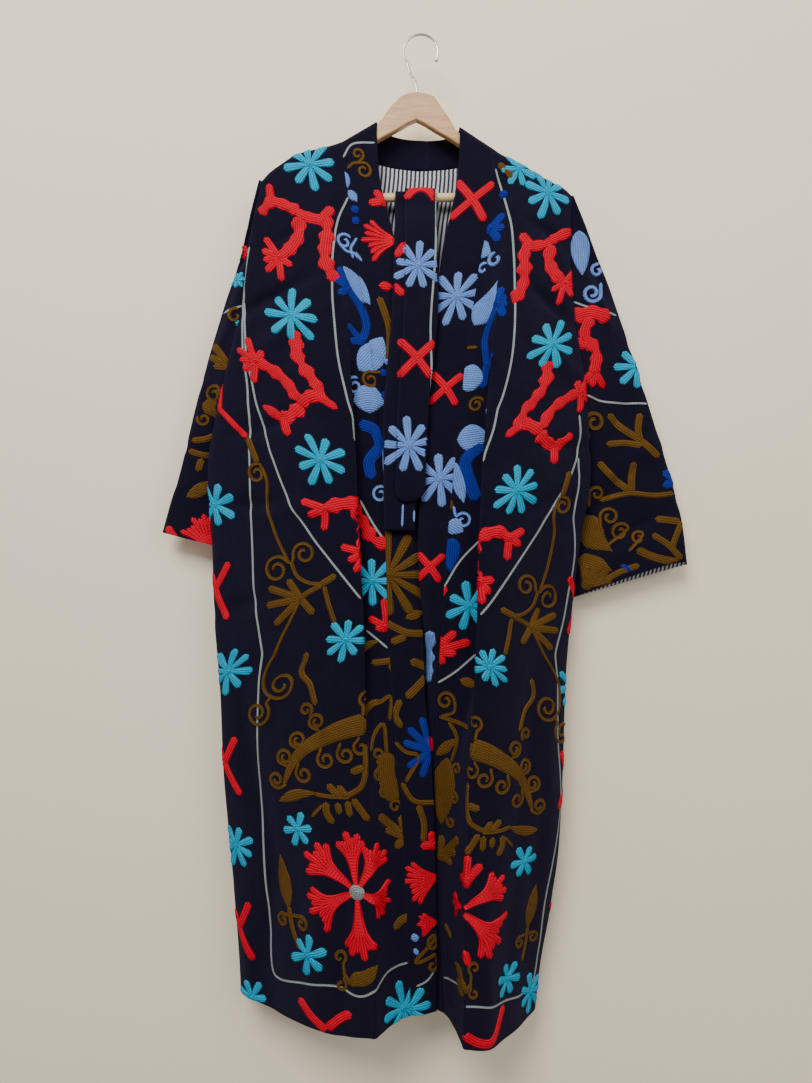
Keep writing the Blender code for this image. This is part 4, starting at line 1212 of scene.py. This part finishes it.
belt_grid = belt_surface()
UPPER_RINGS = SLEEVE_RINGS // 2     # a sleeve's narrow upper part isn't striped inside
front_right = add_cloth("front_right", front_right_grid, cotton, stripes)
front_left = add_cloth("front_left", front_left_grid, cotton, stripes)
back = add_cloth("back", back_grid, cotton, stripes, 1.0)
band_right = add_cloth("band_right", band_right_grid, cotton, cotton)
band_left = add_cloth("band_left", band_left_grid, cotton, cotton)
sleeve_right = add_cloth("sleeve_right", sleeve_right_grid, cotton, stripes, closed=True,
                         lined_from=UPPER_RINGS)
sleeve_left = add_cloth("sleeve_left", sleeve_left_grid, cotton, stripes, closed=True,
                        lined_from=UPPER_RINGS)
lining_back = add_cloth("lining_back", lining_back_panel(), stripes, stripes, thickness=LINING)
lining_cuff = add_cloth("lining_cuff_left", cuff_lining(sleeve_left_grid), stripes, stripes,
                        closed=True, thickness=LINING)
belt = add_cloth("belt", belt_grid, cotton, cotton)

nodes["hanger_wood"].data.materials[0] = wood_material(
    "hanger_lacquer", (0.42, 0.21, 0.08), (0.66, 0.4, 0.19), 0.004)
nodes["hanger_bar"].data.materials[0] = wood_material(
    "bar_wood", (0.6, 0.4, 0.2), (0.74, 0.55, 0.32), 0.006)
nodes["hanger_hook"].data.materials[0] = metal_material()


# Motifs, each drawn once about a home place and set again, mirrored or turned. Their places are
# read from the photograph, in its own steps right and down; each form is a few strokes.
def coral(pen):
    """A knobbly coral: a wavy trunk, a ring's two arms, a spike and an open hand."""
    pen.stroke("red", 12, (321, 213), (325, 228), (321, 246), (318, 262), (325, 286), waver=0.2)
    pen.stroke("red", 9, (334, 207), (325, 216), (319, 222))
    pen.stroke("red", 11, (324, 222), (308, 218), (296, 212), waver=0.1)
    pen.stroke("red", 11, (300, 212), (286, 204), (272, 200), (258, 213), waver=0.14)
    pen.stroke("red", 9, (272, 202), (270, 181))
    pen.stroke("red", 12, (298, 216), (295, 236), (284, 250), (272, 258), waver=0.12)
    pen.hand("red", 7, (272, 258), (260, 236), (255, 249), (255, 260), (256, 272), (270, 283),
             (284, 268))


def curls(pen):
    """A long stem with a club, paired curls, a leafy hand and a trailing stem with more curls."""
    pen.stroke("brown", 6.5, (255, 437), (258, 450), (261, 464))
    pen.curl((259, 474), 10, 70, 1.35)
    pen.stroke("brown", 3.2, (263, 463), (269, 480), (268, 505), (275, 535), (288, 562))
    pen.curl((276, 570), 14, 35, 1.45, (292, 563))
    pen.curl((305, 554), 12, 200, -1.4, (292, 564))
    pen.strokes("brown", (3.8, (291, 562), (298, 576), (312, 583), (325, 583)),
                (6, (322, 584), (331, 579), (338, 574)), (5, (325, 584), (312, 591), (303, 597)))
    pen.hand("brown", 7, (303, 598), (288, 579), (267, 588), (266, 606), (277, 625), (318, 613))
    pen.stroke("brown", 4.5, (326, 585), (332, 603), (340, 622))
    pen.curl((302, 684), 14, 250, 1.4, (301, 603), (286, 640), (281, 672), (287, 692))
    pen.stroke("brown", 5, (316, 650), (318, 670), (332, 682), (343, 702))
    pen.curl((281, 714), 14, 50, -1.5, (295, 696))
    pen.curl((333, 707), 7.5, 300, 1.3)


def feather(pen):
    """A long tapering feather with curls along both sides."""
    body = pen.put([(281, 786), (290, 768), (303, 751), (325, 737), (347, 727), (366, 722)])
    path = smooth_path(body)
    t = np.linspace(0, 1, len(path))
    half = (1.6 + 10.5 * t ** 0.8) * np.sqrt(np.clip((1.0 - t) / 0.05, 0, 1))
    pen.work.strip(path, half * pen.size, "brown")
    pen.stroke("brown", 8, (361, 716), (362, 730))
    pen.curl((362, 697), 8, 250, -1.2, (361, 716))
    for x, y in ((284, 759), (298, 741), (316, 722)):
        pen.curl((x, y), 8.5, 215, -1.35, (x + 4, y + 9))
    pen.curl((273, 782), 8.5, 300, -1.4, (284, 785))
    for x, y in ((304, 774), (327, 759), (347, 753)):
        pen.curl((x, y), 9, 140, 1.3, (x - 5, y - 12))
    pen.curl((362, 746), 8, 120, 1.1, (360, 735))


def branch(pen):
    """A branch with a long leaf and small leaves below it."""
    pen.strokes("brown", (5, (367, 745), (367, 768), (362, 786), (345, 797)),
                (7, (352, 773), (366, 767)), (4, (350, 797), (330, 797), (314, 795)))
    pen.leaf("brown", 10, (320, 794), (274, 806), bow=-3, belly=0.6)
    pen.strokes("brown", (7, (340, 797), (328, 785)), (7, (347, 797), (338, 786)),
                (7, (326, 802), (325, 812), (331, 823)), (6, (337, 802), (338, 814)),
                (6, (347, 800), (348, 816)), (7, (352, 798), (366, 819)),
                (3.4, (322, 805), (309, 818)))


def curled_leaf(pen):
    """A leaf on a stem with a curl at each side."""
    pen.leaf("brown", 15, (284, 856), (289, 908), belly=0.55)
    pen.stroke("brown", 4.6, (289, 905), (291, 925), (298, 945))
    pen.curl((280, 921), 7, 60, 1.25, (290, 914))
    pen.curl((304, 920), 7.5, 120, -1.25, (291, 914))


def red_flower(pen):
    """Six fans about a pale round."""
    for angle, reach, spread in ((141, 60, 20), (94, 57, 15), (58, 51, 19), (-20, 38, 32),
                                 (-90, 63, 16), (-157, 52, 26)):
        pen.fan((357, 892), reach, angle, spread)
    pen.dot("line", (357, 892), 8.5)


def foot_leaf(pen):
    """A heart-shaped leaf with loops on its stem."""
    pen.curl((341, 957), 7, 300, 1.1, (345, 975))
    pen.curl((341, 984), 6, 60, -1.1, (345, 975))
    pen.stroke("brown", 4, (343, 972), (352, 983))
    pen.leaf("brown", 13, (350, 980), (379, 962), bow=-4)
    pen.leaf("brown", 11, (352, 984), (371, 974), bow=5)


def chevron(pen):
    """Two leaves meeting in an angle, with a stub."""
    pen.strokes("red", (7, (242, 735), (233, 752), (226, 764)),
                (7, (226, 760), (233, 776), (243, 794)), (7, (219, 746), (229, 764)))


def light_curls(pen):
    """Pale spirals, two facing ways."""
    pen.curl((345, 241), 8.5, 30, 1.2, colour="light_blue", width=3)
    pen.strokes("light_blue", (3, (338, 242), (346, 251), (353, 252), (360, 262)),
                (3, (358, 238), (351, 247), (352, 258)))


def neck_leaves(pen):
    """The leaves, blue branch and brown stem beside the neck opening."""
    pen.leaf("light_blue", 17, (348, 266), (371, 305))
    pen.stroke("royal_blue", 8, (343, 267), (351, 290), (361, 308), (363, 328), (352, 345))
    pen.hand("royal_blue", 7, (349, 290), (337, 279), (337, 296))
    pen.hand("royal_blue", 7, (356, 340), (342, 325), (342, 342))
    pen.stroke("brown", 7, (381, 297), (386, 330), (380, 366))
    pen.leaf("light_blue", 25, (349, 370), (378, 338), bow=-2)
    pen.leaf("red", 9, (382, 286), (397, 287))


def chest_leaves(pen):
    """The leaves, curls and blue bow below them."""
    pen.curl((354, 386), 9, 60, 1.3, colour="light_blue", width=3)
    pen.curl((371, 380), 9, 60, 1.4, (386, 372))
    pen.leaf("light_blue", 26, (351, 402), (385, 404), bow=4)
    pen.stroke("royal_blue", 11, (354, 424), (369, 430), (374, 446), (362, 462), (364, 480))
    pen.leaf("light_blue", 9, (384, 442), (377, 477))
    pen.strokes("red", (7, (395, 418), (385, 432)), (8, (384, 462), (395, 475)))
    pen.curl((372, 495), 9, 30, 1.3, (386, 486), colour="light_blue", width=3)
    pen.dot("light_blue", (393, 362), 4)
    pen.dot("royal_blue", (387, 373), 4.5)
    pen.dot("royal_blue", (386, 396), 5)


def cross(pen, width=8.0, half=20.0):
    """Two strokes crossing, about the drawing's home."""
    x, y = pen.home
    pen.strokes("red", (width, (x - half, y - half), (x, y), (x + half * 0.8, y + half * 1.1)),
                (width, (x + half, y - half * 0.9), (x, y), (x - half, y + half)))


# The place in the photograph that each motif is drawn about
RED_HOME, CURL_HOME, FEATHER_HOME = (305, 215), (291, 562), (325, 737)
BRANCH_HOME, LEAF_HOME, FLOWER_HOME = (340, 797), (289, 905), (357, 892)
FOOT_HOME, CHEVRON_HOME = (345, 975), (228, 764)


# Stitching on the wearer's right front
right = Needlework("front_right_stitching", Spread(front_right_grid, -1))
for u, v, radius, petals in ((310, 165, 27, 8), (291, 316, 28, 8), (320, 460, 26, 8),
                             (346, 640, 21, 8), (298, 829, 17, 6), (308, 955, 21, 6),
                             (215, 505, 24, 7), (218, 675, 25, 8), (236, 845, 22, 8),
                             (252, 997, 19, 7)):
    right.bloom(u, v, radius, petals, turn=12.0 + u)
right.bloom(372, 581, 24, 8)
right.pen(398, 1009).daisy("turquoise", (404, 1009), 27, 8, turn=10)
coral(right.pen(305, 215, RED_HOME))
coral(right.pen(305, 402, RED_HOME, rise=-1.0))
third = right.pen(330, 520)
third.stroke("red", 12, (392, 500), (358, 503), (340, 505), (325, 509), waver=0.12)
third.hand("red", 7, (327, 509), (302, 501), (308, 516), (322, 531))
third.stroke("red", 12, (355, 505), (362, 530), (358, 556), waver=0.15)
third.hand("red", 7, (362, 552), (338, 546), (345, 560), (352, 571))
deep = right.pen(372, 530)
deep.stroke("red", 11, (352, 505), (364, 524), (374, 540), (390, 545), waver=0.2)
deep.stroke("red", 7, (382, 598), (383, 622), (379, 632))
deep.hand("red", 7, (382, 626), (366, 617), (372, 629))
deep.stroke("brown", 6, (366, 662), (384, 660), (400, 655))
deep.curl((392, 665), 8, 160, 1.2)
for height in (0.0, 58.0):
    deep.leaf("brown", 7, (352, 655 + height), (376, 640 + height), bow=3)
curls(right.pen(291, 562, CURL_HOME))
feather(right.pen(325, 737, FEATHER_HOME))
branch(right.pen(340, 797, BRANCH_HOME))
curled_leaf(right.pen(289, 905, LEAF_HOME))
red_flower(right.pen(357, 892, FLOWER_HOME))
foot_leaf(right.pen(345, 975, FOOT_HOME))
for u, v in ((219, 410), (217, 590), (226, 764), (241, 928)):
    chevron(right.pen(u, v, CHEVRON_HOME))
right.pen(326, 1022).strokes("red", (8, (297, 1004), (310, 1018), (326, 1030)),
                             (8, (326, 1028), (342, 1016), (353, 1011)))
inner = right.pen(386, 770)
inner.stroke("brown", 17, (388, 752), (386, 775), (393, 802))
inner.curl((378, 754), 7, 250, 1.3, (383, 764))
inner.curl((378, 774), 6, 90, 1.3, (384, 782))
inner.curl((382, 792), 7, 300, 1.3)
inner.curl((392, 806), 7, 330, 1.2)
inner.strokes("brown", (4, (388, 755), (386, 725), (376, 735), (370, 750)),
              (4, (366, 708), (384, 704), (395, 698), (393, 722)))
inner.hand("brown", 8, (400, 838), (373, 812), (379, 826), (388, 847), (397, 815))
inner.stroke("brown", 8, (383, 927), (392, 919), (408, 916))
for path in (((250, 247), (243, 310), (246, 380), (249, 440), (251, 500), (256, 600), (259, 690),
              (262, 800), (268, 900), (274, 972), (280, 978), (330, 985), (362, 996), (387, 972),
              (408, 962)),
             ((349, 190), (338, 220), (333, 250), (332, 290), (335, 330), (345, 390), (354, 441)),
             ((244, 302), (249, 374), (265, 436), (284, 489), (311, 535), (330, 560), (361, 599)),
             ((360, 500), (372, 522), (387, 542)), ((366, 630), (388, 648))):
    right.line(path)

# Stitching on the wearer's left front
left = Needlework("front_left_stitching", Spread(front_left_grid, 0))
for u, v, radius, petals in ((547, 193, 27, 8), (553, 345, 26, 8), (517, 491, 25, 9),
                             (489, 667, 19, 9), (524, 861, 17, 6), (507, 978, 18, 6),
                             (520, 161, 20, 7)):
    left.bloom(u, v, radius, petals, turn=20.0 + u)
left.bloom(469, 606, 24, 7)
coral(left.pen(545, 243, RED_HOME, flip=-1.0, scale=0.92))
coral(left.pen(536, 430, RED_HOME, flip=-1.0, rise=-1.0, scale=0.98))
third = left.pen(500, 535)
third.stroke("red", 11, (468, 552), (482, 537), (498, 532), (512, 540), waver=0.15)
third.hand("red", 8, (510, 538), (526, 530), (523, 545), (509, 560))
third.stroke("red", 11, (478, 540), (474, 560), (480, 580), waver=0.15)
third.hand("red", 8, (482, 580), (496, 578), (491, 592), (483, 602))
curls(left.pen(537, 592, CURL_HOME, flip=-1.0, scale=0.95, turn=4.0))
feather(left.pen(506, 764, FEATHER_HOME, flip=-1.0, scale=0.95, turn=-6.0))
branch(left.pen(490, 832, BRANCH_HOME, flip=-1.0, scale=0.92))
curled_leaf(left.pen(527, 925, LEAF_HOME, flip=-1.0, scale=0.85))
for angle, reach, spread in ((28, 52, 20), (-38, 56, 27), (186, 22, 36)):
    left.pen(463, 908).fan((463, 908), reach, angle, spread)
left.pen(467, 873).hand("red", 8, (466, 882), (467, 856), (481, 865), (455, 878))
left.pen(466, 958).leaf("red", 7, (464, 950), (470, 968))
foot_leaf(left.pen(470, 985, FOOT_HOME, flip=-1.0, scale=0.9))
for u, v in ((566, 605), (558, 780), (545, 930)):
    chevron(left.pen(u, v, (245, 764), flip=-1.0))
left.pen(560, 690).daisy("turquoise", (580, 690), 24, 8)
left.pen(536, 1003).daisy("turquoise", (552, 1003), 20, 7)
left.pen(490, 1035).stroke("red", 8, (462, 1030), (478, 1040), (492, 1042), (512, 1015))
left.pen(520, 160).stroke("brown", 7, (496, 155), (508, 165), (512, 172))
edge = left.pen(486, 240)
edge.dot("royal_blue", (496, 194), 5)
edge.hand("royal_blue", 8, (488, 229), (500, 214), (503, 229), (500, 243), (482, 231))
edge.leaf("light_blue", 17, (476, 240), (494, 256), bow=-3)
edge.curl((500, 262), 8, 100, 1.0, colour="light_blue", width=3.6)
edge.curl((489, 270), 6, 60, 0.9, colour="light_blue", width=3.4)
edge.stroke("brown", 5, (475, 268), (481, 280), (475, 295))
edge = left.pen(470, 330)
edge.leaf("light_blue", 24, (493, 283), (474, 326), bow=2, belly=0.66)
edge.stroke("royal_blue", 7, (499, 290), (496, 312), (487, 340), (491, 366), (490, 390))
edge.hand("royal_blue", 8, (498, 308), (504, 298), (508, 308), (507, 321))
edge.hand("royal_blue", 7, (492, 366), (508, 358), (505, 371))
edge.strokes("brown", (3.5, (480, 348), (466, 350), (464, 362)),
             (8, (462, 376), (460, 400), (456, 424)))
edge.leaf("light_blue", 25, (464, 378), (491, 380))
edge = left.pen(462, 432)
edge.curl((473, 405), 8, 20, 1.4)
edge.curl((490, 412), 6, 90, 1.0, colour="light_blue", width=3.4)
edge.leaf("light_blue", 25, (458, 440), (489, 436))
edge.leaf("light_blue", 13, (457, 462), (471, 503))
edge.stroke("royal_blue", 12, (484, 444), (469, 462), (476, 484), (484, 501))
edge.stroke("brown", 4, (451, 496), (459, 505), (450, 515))
edge.curl((472, 521), 8.5, 150, -1.2, (461, 506), colour="light_blue", width=3)
edge = left.pen(452, 560)
edge.leaf("light_blue", 15, (444, 522), (461, 532))
edge.leaf("royal_blue", 17, (450, 538), (451, 572), belly=0.35)
edge.stroke("red", 7, (448, 586), (443, 595), (439, 606))
edge.hand("red", 8, (438, 652), (461, 631), (446, 636), (476, 641), (463, 653), (452, 663),
          (437, 670))
edge = left.pen(450, 760)
edge.leaf("brown", 9, (455, 680), (474, 686))
edge.curl((442, 702), 9, 20, 1.3, (437, 718), (452, 712))
edge.strokes("brown", (4, (436, 718), (455, 722), (472, 726)),
             (4, (446, 722), (457, 738), (452, 762)))
edge.leaf("brown", 10, (434, 757), (457, 738))
edge.leaf("brown", 27, (447, 758), (439, 826))
edge.curl((460, 767), 6, 200, -1.2)
edge.curl((458, 796), 6, 120, -1.2)
edge.curl((453, 820), 6, 150, 1.2)
edge.hand("brown", 8, (438, 858), (467, 832), (456, 860), (440, 836), (462, 846))
edge.stroke("brown", 6, (440, 925), (453, 934))
for path in (((590, 453), (590, 487), (586, 515), (574, 556), (563, 619), (555, 660), (557, 728),
              (560, 799), (552, 863), (544, 904), (538, 948), (530, 985), (505, 1000),
              (485, 1007), (464, 1006)),
             ((444, 977), (462, 987)),
             ((495, 169), (499, 184), (510, 220), (513, 242), (515, 288), (515, 319), (503, 400),
              (491, 438), (484, 462)),
             ((580, 415), (581, 437), (577, 457), (555, 503), (540, 528), (520, 559), (491, 602),
              (480, 615)),
             ((479, 541), (460, 561), (440, 587)), ((476, 654), (455, 672), (436, 684))):
    left.line(path)

# Stitching on the neckband
fore = Needlework("band_right_stitching", Spread(band_right_grid[right_turn:], 0))
top = fore.pen(364, 200)
top.curl((365, 153), 6.5, 300, 1.2, (362, 164))
top.curl((369, 170), 8.5, 110, -1.3, (352, 168), (360, 162))
top.leaf("light_blue", 8, (349, 171), (350, 188))
top.leaf("light_blue", 9, (350, 190), (357, 202))
top.hand("red", 8, (384, 201), (368, 204), (376, 190))
top.strokes("royal_blue", (9, (352, 206), (355, 214)), (9, (350, 218), (355, 225)))
for pen in (right.pen(338, 245), fore.pen(360, 245)):
    light_curls(pen)
fore.pen(393, 242).fan((398, 241), 36, 180, spread=38, waist=0.85)
for pen in (right.pen(349, 300), fore.pen(370, 310)):
    neck_leaves(pen)
for pen in (right.pen(357, 385), fore.pen(382, 400)):
    chest_leaves(pen)
low = fore.pen(396, 575)
low.daisy("brown", (388, 575), 44, 12)
low.strokes("brown", (7, (384, 622), (404, 632), (424, 634)), (7, (388, 642), (404, 636)),
            (8, (406, 660), (424, 668)), (8, (400, 697), (424, 676)))
low.leaf("brown", 9, (404, 618), (424, 612))
low = fore.pen(412, 760)
low.hand("royal_blue", 7, (432, 752), (424, 718), (410, 728), (404, 742), (407, 767), (420, 778))
low.leaf("red", 6, (428, 736), (432, 752))
low.strokes("brown", (4, (396, 742), (406, 752), (418, 756), (404, 782)),
            (5, (400, 782), (410, 800), (434, 804)), (6, (414, 804), (418, 822), (416, 842)),
            (6, (404, 728), (398, 716), (404, 700)))
low = fore.pen(422, 890)
low.hand("red", 8, (436, 846), (422, 846), (434, 832))
low.daisy("turquoise", (404, 1009), 25, 8, turn=10)
low.fan((440, 878), 36, 190, spread=40, waist=0.85)
low.fan((438, 924), 22, 180, spread=34, waist=0.85)
low.strokes("light_blue", (8, (409, 938), (417, 936)), (9, (411, 952), (416, 950)))
low.curl((432, 945), 8, 60, 1.2, (436, 956), (412, 962))
low.curl((430, 968), 6, 40, -1.1, (436, 958))
for path in (((342, 149), (352, 145), (375, 143)), ((416, 986), (428, 979), (441, 971))):
    fore.line(path)

aft = Needlework("band_left_stitching", Spread(band_left_grid[left_turn:], -1))
cross(aft.pen(472, 200))
aft.bloom(457, 297, 28, 9, 15.0, "light_blue")
cross(aft.pen(446, 388), width=7, half=16)
aft.bloom(440, 479, 27, 8, 10.0, "light_blue")
cross(aft.pen(430, 567), width=7, half=14)
aft.pen(429, 655).stroke("light_blue", 11, (429, 629), (430, 655), (430, 683), waver=0.16)
aft.pen(430, 745).stroke("red", 6, (430, 736), (431, 752))

# Stitching on the belt
strap = Needlework("belt_stitching", Facing(belt_grid, False, -1.0))
upper = strap.pen(420, 260)
upper.stroke("red", 8, (405, 195), (413, 186), (421, 183), (430, 187), (437, 198))
upper.daisy("light_blue", (418, 266), 25, 9, turn=5)
cross(strap.pen(417, 358), half=19)
strap.bloom(409, 446, 28, 9, 15.0, "light_blue")
strap.pen(398, 250).stroke("red", 8, (405, 243), (396, 258))
strap.pen(400, 290).stroke("red", 8, (392, 284), (404, 296))
strap.line(((437, 184), (436, 230), (438, 262), (438, 330), (434, 372), (430, 410), (427, 455)))
for path in (((403, 504), (402, 527)), ((414, 510), (414, 522))):
    strap.line(path, "light_blue")


# Stitching on the sleeves, fronts and backs alike
def sleeve_motifs_left(work):
    """The design seen on the wearer's left sleeve."""
    high = work.pen(580, 262)
    high.leaf("light_blue", 19, (579, 230), (582, 276), belly=0.4)
    high.curl((592, 294), 9.5, 330, -1.3, (602, 282), colour="light_blue", width=3.6)
    high.curl((598, 270), 7, 60, 1.1, colour="light_blue", width=3.4)
    high = work.pen(592, 350)
    high.stroke("red", 13, (570, 318), (590, 312), (610, 318), waver=0.12)
    high.stroke("red", 11, (590, 316), (584, 335), (596, 352), (594, 375), waver=0.16)
    high.hand("red", 8, (594, 372), (606, 388), (592, 388), (583, 384))
    high.stroke("red", 10, (572, 342), (588, 346))
    high.daisy("turquoise", (640, 366), 24, 8)
    mid = work.pen(620, 450)
    mid.curl((593, 422), 11, 200, -1.4, (588, 440), (582, 420), colour="brown", width=4)
    mid.strokes("brown", (7, (607, 413), (622, 428), (640, 440), (660, 458)),
                (7, (640, 412), (638, 430), (641, 442)), (6, (606, 444), (625, 443), (642, 446)),
                (7, (598, 462), (612, 478), (630, 492)), (7, (634, 462), (632, 480), (632, 494)),
                (5, (600, 502), (630, 495), (655, 497), (676, 495)))
    mid.hand("royal_blue", 8, (678, 482), (664, 472), (664, 488))
    mid = work.pen(610, 540)
    mid.stroke("brown", 24, (586, 514), (592, 536), (612, 552), point=30)
    mid.stroke("brown", 16, (577, 560), (596, 566), (612, 572), point=20)
    mid.hand("brown", 9, (586, 586), (582, 560), (596, 566), (608, 570), (612, 580))
    mid.curl((609, 516), 10, 200, -1.3, (600, 530))
    mid.curl((596, 492), 8, 200, -1.2, (588, 506))
    mid.curl((620, 532), 10, 30, 1.3, (604, 548))
    mid.curl((638, 538), 7, 40, 1.2, (628, 552))
    mid.strokes("brown", (7, (656, 518), (682, 521)), (6, (652, 534), (668, 544), (684, 560)),
                (6, (684, 520), (676, 540), (672, 552)), (8, (636, 550), (655, 558), (682, 564)),
                (6, (600, 586), (618, 574), (640, 566)))
    mid.hand("royal_blue", 5, (628, 570), (620, 566), (634, 568))
    work.line(((573, 302), (590, 308), (616, 316)))
    work.line(((586, 395), (605, 402), (647, 404)))


def sleeve_motifs_right(work):
    """The design seen on the wearer's right sleeve."""
    high = work.pen(236, 280)
    high.daisy("turquoise", (238, 281), 9, 7)
    high.hand("red", 6, (248, 252), (242, 245), (240, 258))
    high.daisy("turquoise", (248, 330), 12, 7)
    high.curl((236, 318), 8, 60, 1.0)
    high = work.pen(212, 380)
    high.hand("brown", 7, (232, 368), (214, 344), (210, 356), (214, 366))
    high.curl((214, 395), 9, 60, 1.3, (224, 410))
    high.stroke("brown", 16, (202, 404), (216, 410), (232, 420), point=12)
    high.curl((203, 420), 7, 150, 1.2)
    high.strokes("brown", (6, (190, 442), (206, 440), (214, 436)),
                 (6, (186, 452), (200, 456), (218, 458)), (7, (196, 474), (200, 460)))
    high.leaf("brown", 13, (184, 500), (216, 484))
    low = work.pen(195, 530)
    low.fan((214, 552), 40, 122, spread=26, waist=0.85)
    low.stroke("red", 8, (166, 526), (175, 540), (188, 552))
    work.line(((224, 314), (232, 309), (243, 306)))


for toward, side in ((-1.0, "front"), (1.0, "behind")):
    for name, grid, motifs in (("sleeve_left", sleeve_left_grid, sleeve_motifs_left),
                               ("sleeve_right", sleeve_right_grid, sleeve_motifs_right)):
        work = Needlework(name + "_stitching_" + side, Facing(grid, True, toward))
        motifs(work)
        work.build()


# Stitching on the back, after the same design
rear = Needlework("back_stitching", Facing(back_grid, False, 1.0))
REAR_MIDDLE = -40.0


def rear_pen(flip, x, z, home=(0, 0)):
    """A pen on the back at a distance from its middle line and a height, facing one of two ways."""
    return Pen(rear, (REAR_MIDDLE + flip * x, z), home, flip=flip)


for flip in (1.0, -1.0):
    coral(rear_pen(flip, -98, -290, RED_HOME))
    coral(Pen(rear, (REAR_MIDDLE - flip * 92, -520), RED_HOME, flip=flip, rise=-1.0))
    curls(rear_pen(flip, -100, -760, CURL_HOME))
    feather(rear_pen(flip, -70, -960, FEATHER_HOME))
    branch(rear_pen(flip, -60, -1050, BRANCH_HOME))
    curled_leaf(rear_pen(flip, -140, -1180, LEAF_HOME))
    foot_leaf(rear_pen(flip, -70, -1250, FOOT_HOME))
    for height in (-700, -1000):
        chevron(rear_pen(flip, -200, height, CHEVRON_HOME))
    for x, z, radius in ((-110, -220, 26), (-112, -405, 26), (-60, -610, 24), (-40, -860, 22),
                         (-130, -1080, 17), (-100, -1270, 21), (-190, -850, 20)):
        rear_pen(flip, x, z).daisy("turquoise", (0, 0), radius, 8)
    for path in (((-30, -230), (-14, -420), (-2, -560), (-40, -640), (0, -720)),
                 ((-172, -330), (-150, -520), (-90, -640), (0, -760)),
                 ((-178, -330), (-176, -800), (-168, -1280), (-80, -1295), (0, -1290))):
        bent = [(REAR_MIDDLE + flip * x, z) for x, z in path]
        rear.stroke(bent, 3.0, "line", rise=LINE_RISE)
rear_pen(1.0, 0, -655).daisy("light_blue", (0, 0), 20, 8)
red_flower(Pen(rear, (REAR_MIDDLE, -1160), FLOWER_HOME, scale=0.9))

for work in (right, left, fore, aft, strap, rear):
    work.build()


# Wall, light and camera, in metres
WALL_FACE, WALL_SIDE, WALL_FOOT, WALL_TOP = 0.052, 2.2, -2.6, 1.4
DAYLIGHT, LAMPLIGHT, AIR = (1.0, 0.97, 0.93), (1.0, 0.94, 0.86), (1.0, 0.95, 0.9, 1.0)
AIR_STRENGTH = 0.36
LENS, SENSOR = 27.0, 36.0       # the camera's lens and the height of its picture, millimetres
# Each light: its name, place, aim, size, power and tint
LIGHTS = (
    ("window", (-0.7, -2.1, 1.3), (0.0, 0.0, -0.45), 1.3, 88.0, DAYLIGHT),
    ("room", (1.3, -2.0, 0.3), (0.0, 0.0, -0.6), 1.6, 22.0, LAMPLIGHT),
    ("rear", (0.9, 2.2, 0.2), (0.0, 0.0, -0.7), 1.8, 60.0, DAYLIGHT),
)


def add_wall():
    """The plain wall behind the robe, which lets the rear light through to the robe's back."""
    mesh = bpy.data.meshes.new("wall")
    corners = ((-WALL_SIDE, WALL_FOOT), (WALL_SIDE, WALL_FOOT), (WALL_SIDE, WALL_TOP),
               (-WALL_SIDE, WALL_TOP))
    mesh.from_pydata([(x, WALL_FACE, z) for x, z in corners], [], [(0, 1, 2, 3)])
    mesh.materials.append(wall_material())
    wall = bpy.data.objects.new("wall", mesh)
    bpy.context.scene.collection.objects.link(wall)
    wall.visible_shadow = False


def add_light(name, place, aim, size, power, tint):
    """A square soft light at a place, turned to another."""
    data = bpy.data.lights.new(name, "AREA")
    data.shape = "SQUARE"
    data.size = size
    data.energy = power
    data.color = tint
    light = bpy.data.objects.new(name, data)
    light.location = place
    way = Vector(aim) - Vector(place)
    light.rotation_euler = way.to_track_quat("-Z", "Y").to_euler()
    bpy.context.scene.collection.objects.link(light)


add_wall()
for light in LIGHTS:
    add_light(*light)
world = bpy.data.worlds.new("room_air")
world.use_nodes = True
background = world.node_tree.nodes["Background"]
background.inputs["Color"].default_value = AIR
background.inputs["Strength"].default_value = AIR_STRENGTH
bpy.context.scene.world = world

lens = bpy.data.cameras.new("camera")
lens.lens = LENS
lens.sensor_fit = "VERTICAL"
lens.sensor_height = SENSOR
eye = bpy.data.objects.new("camera", lens)
eye.location = CAMERA * 0.001
eye.rotation_euler = (math.pi / 2, 0.0, 0.0)
bpy.context.scene.collection.objects.link(eye)
bpy.context.scene.camera = eye
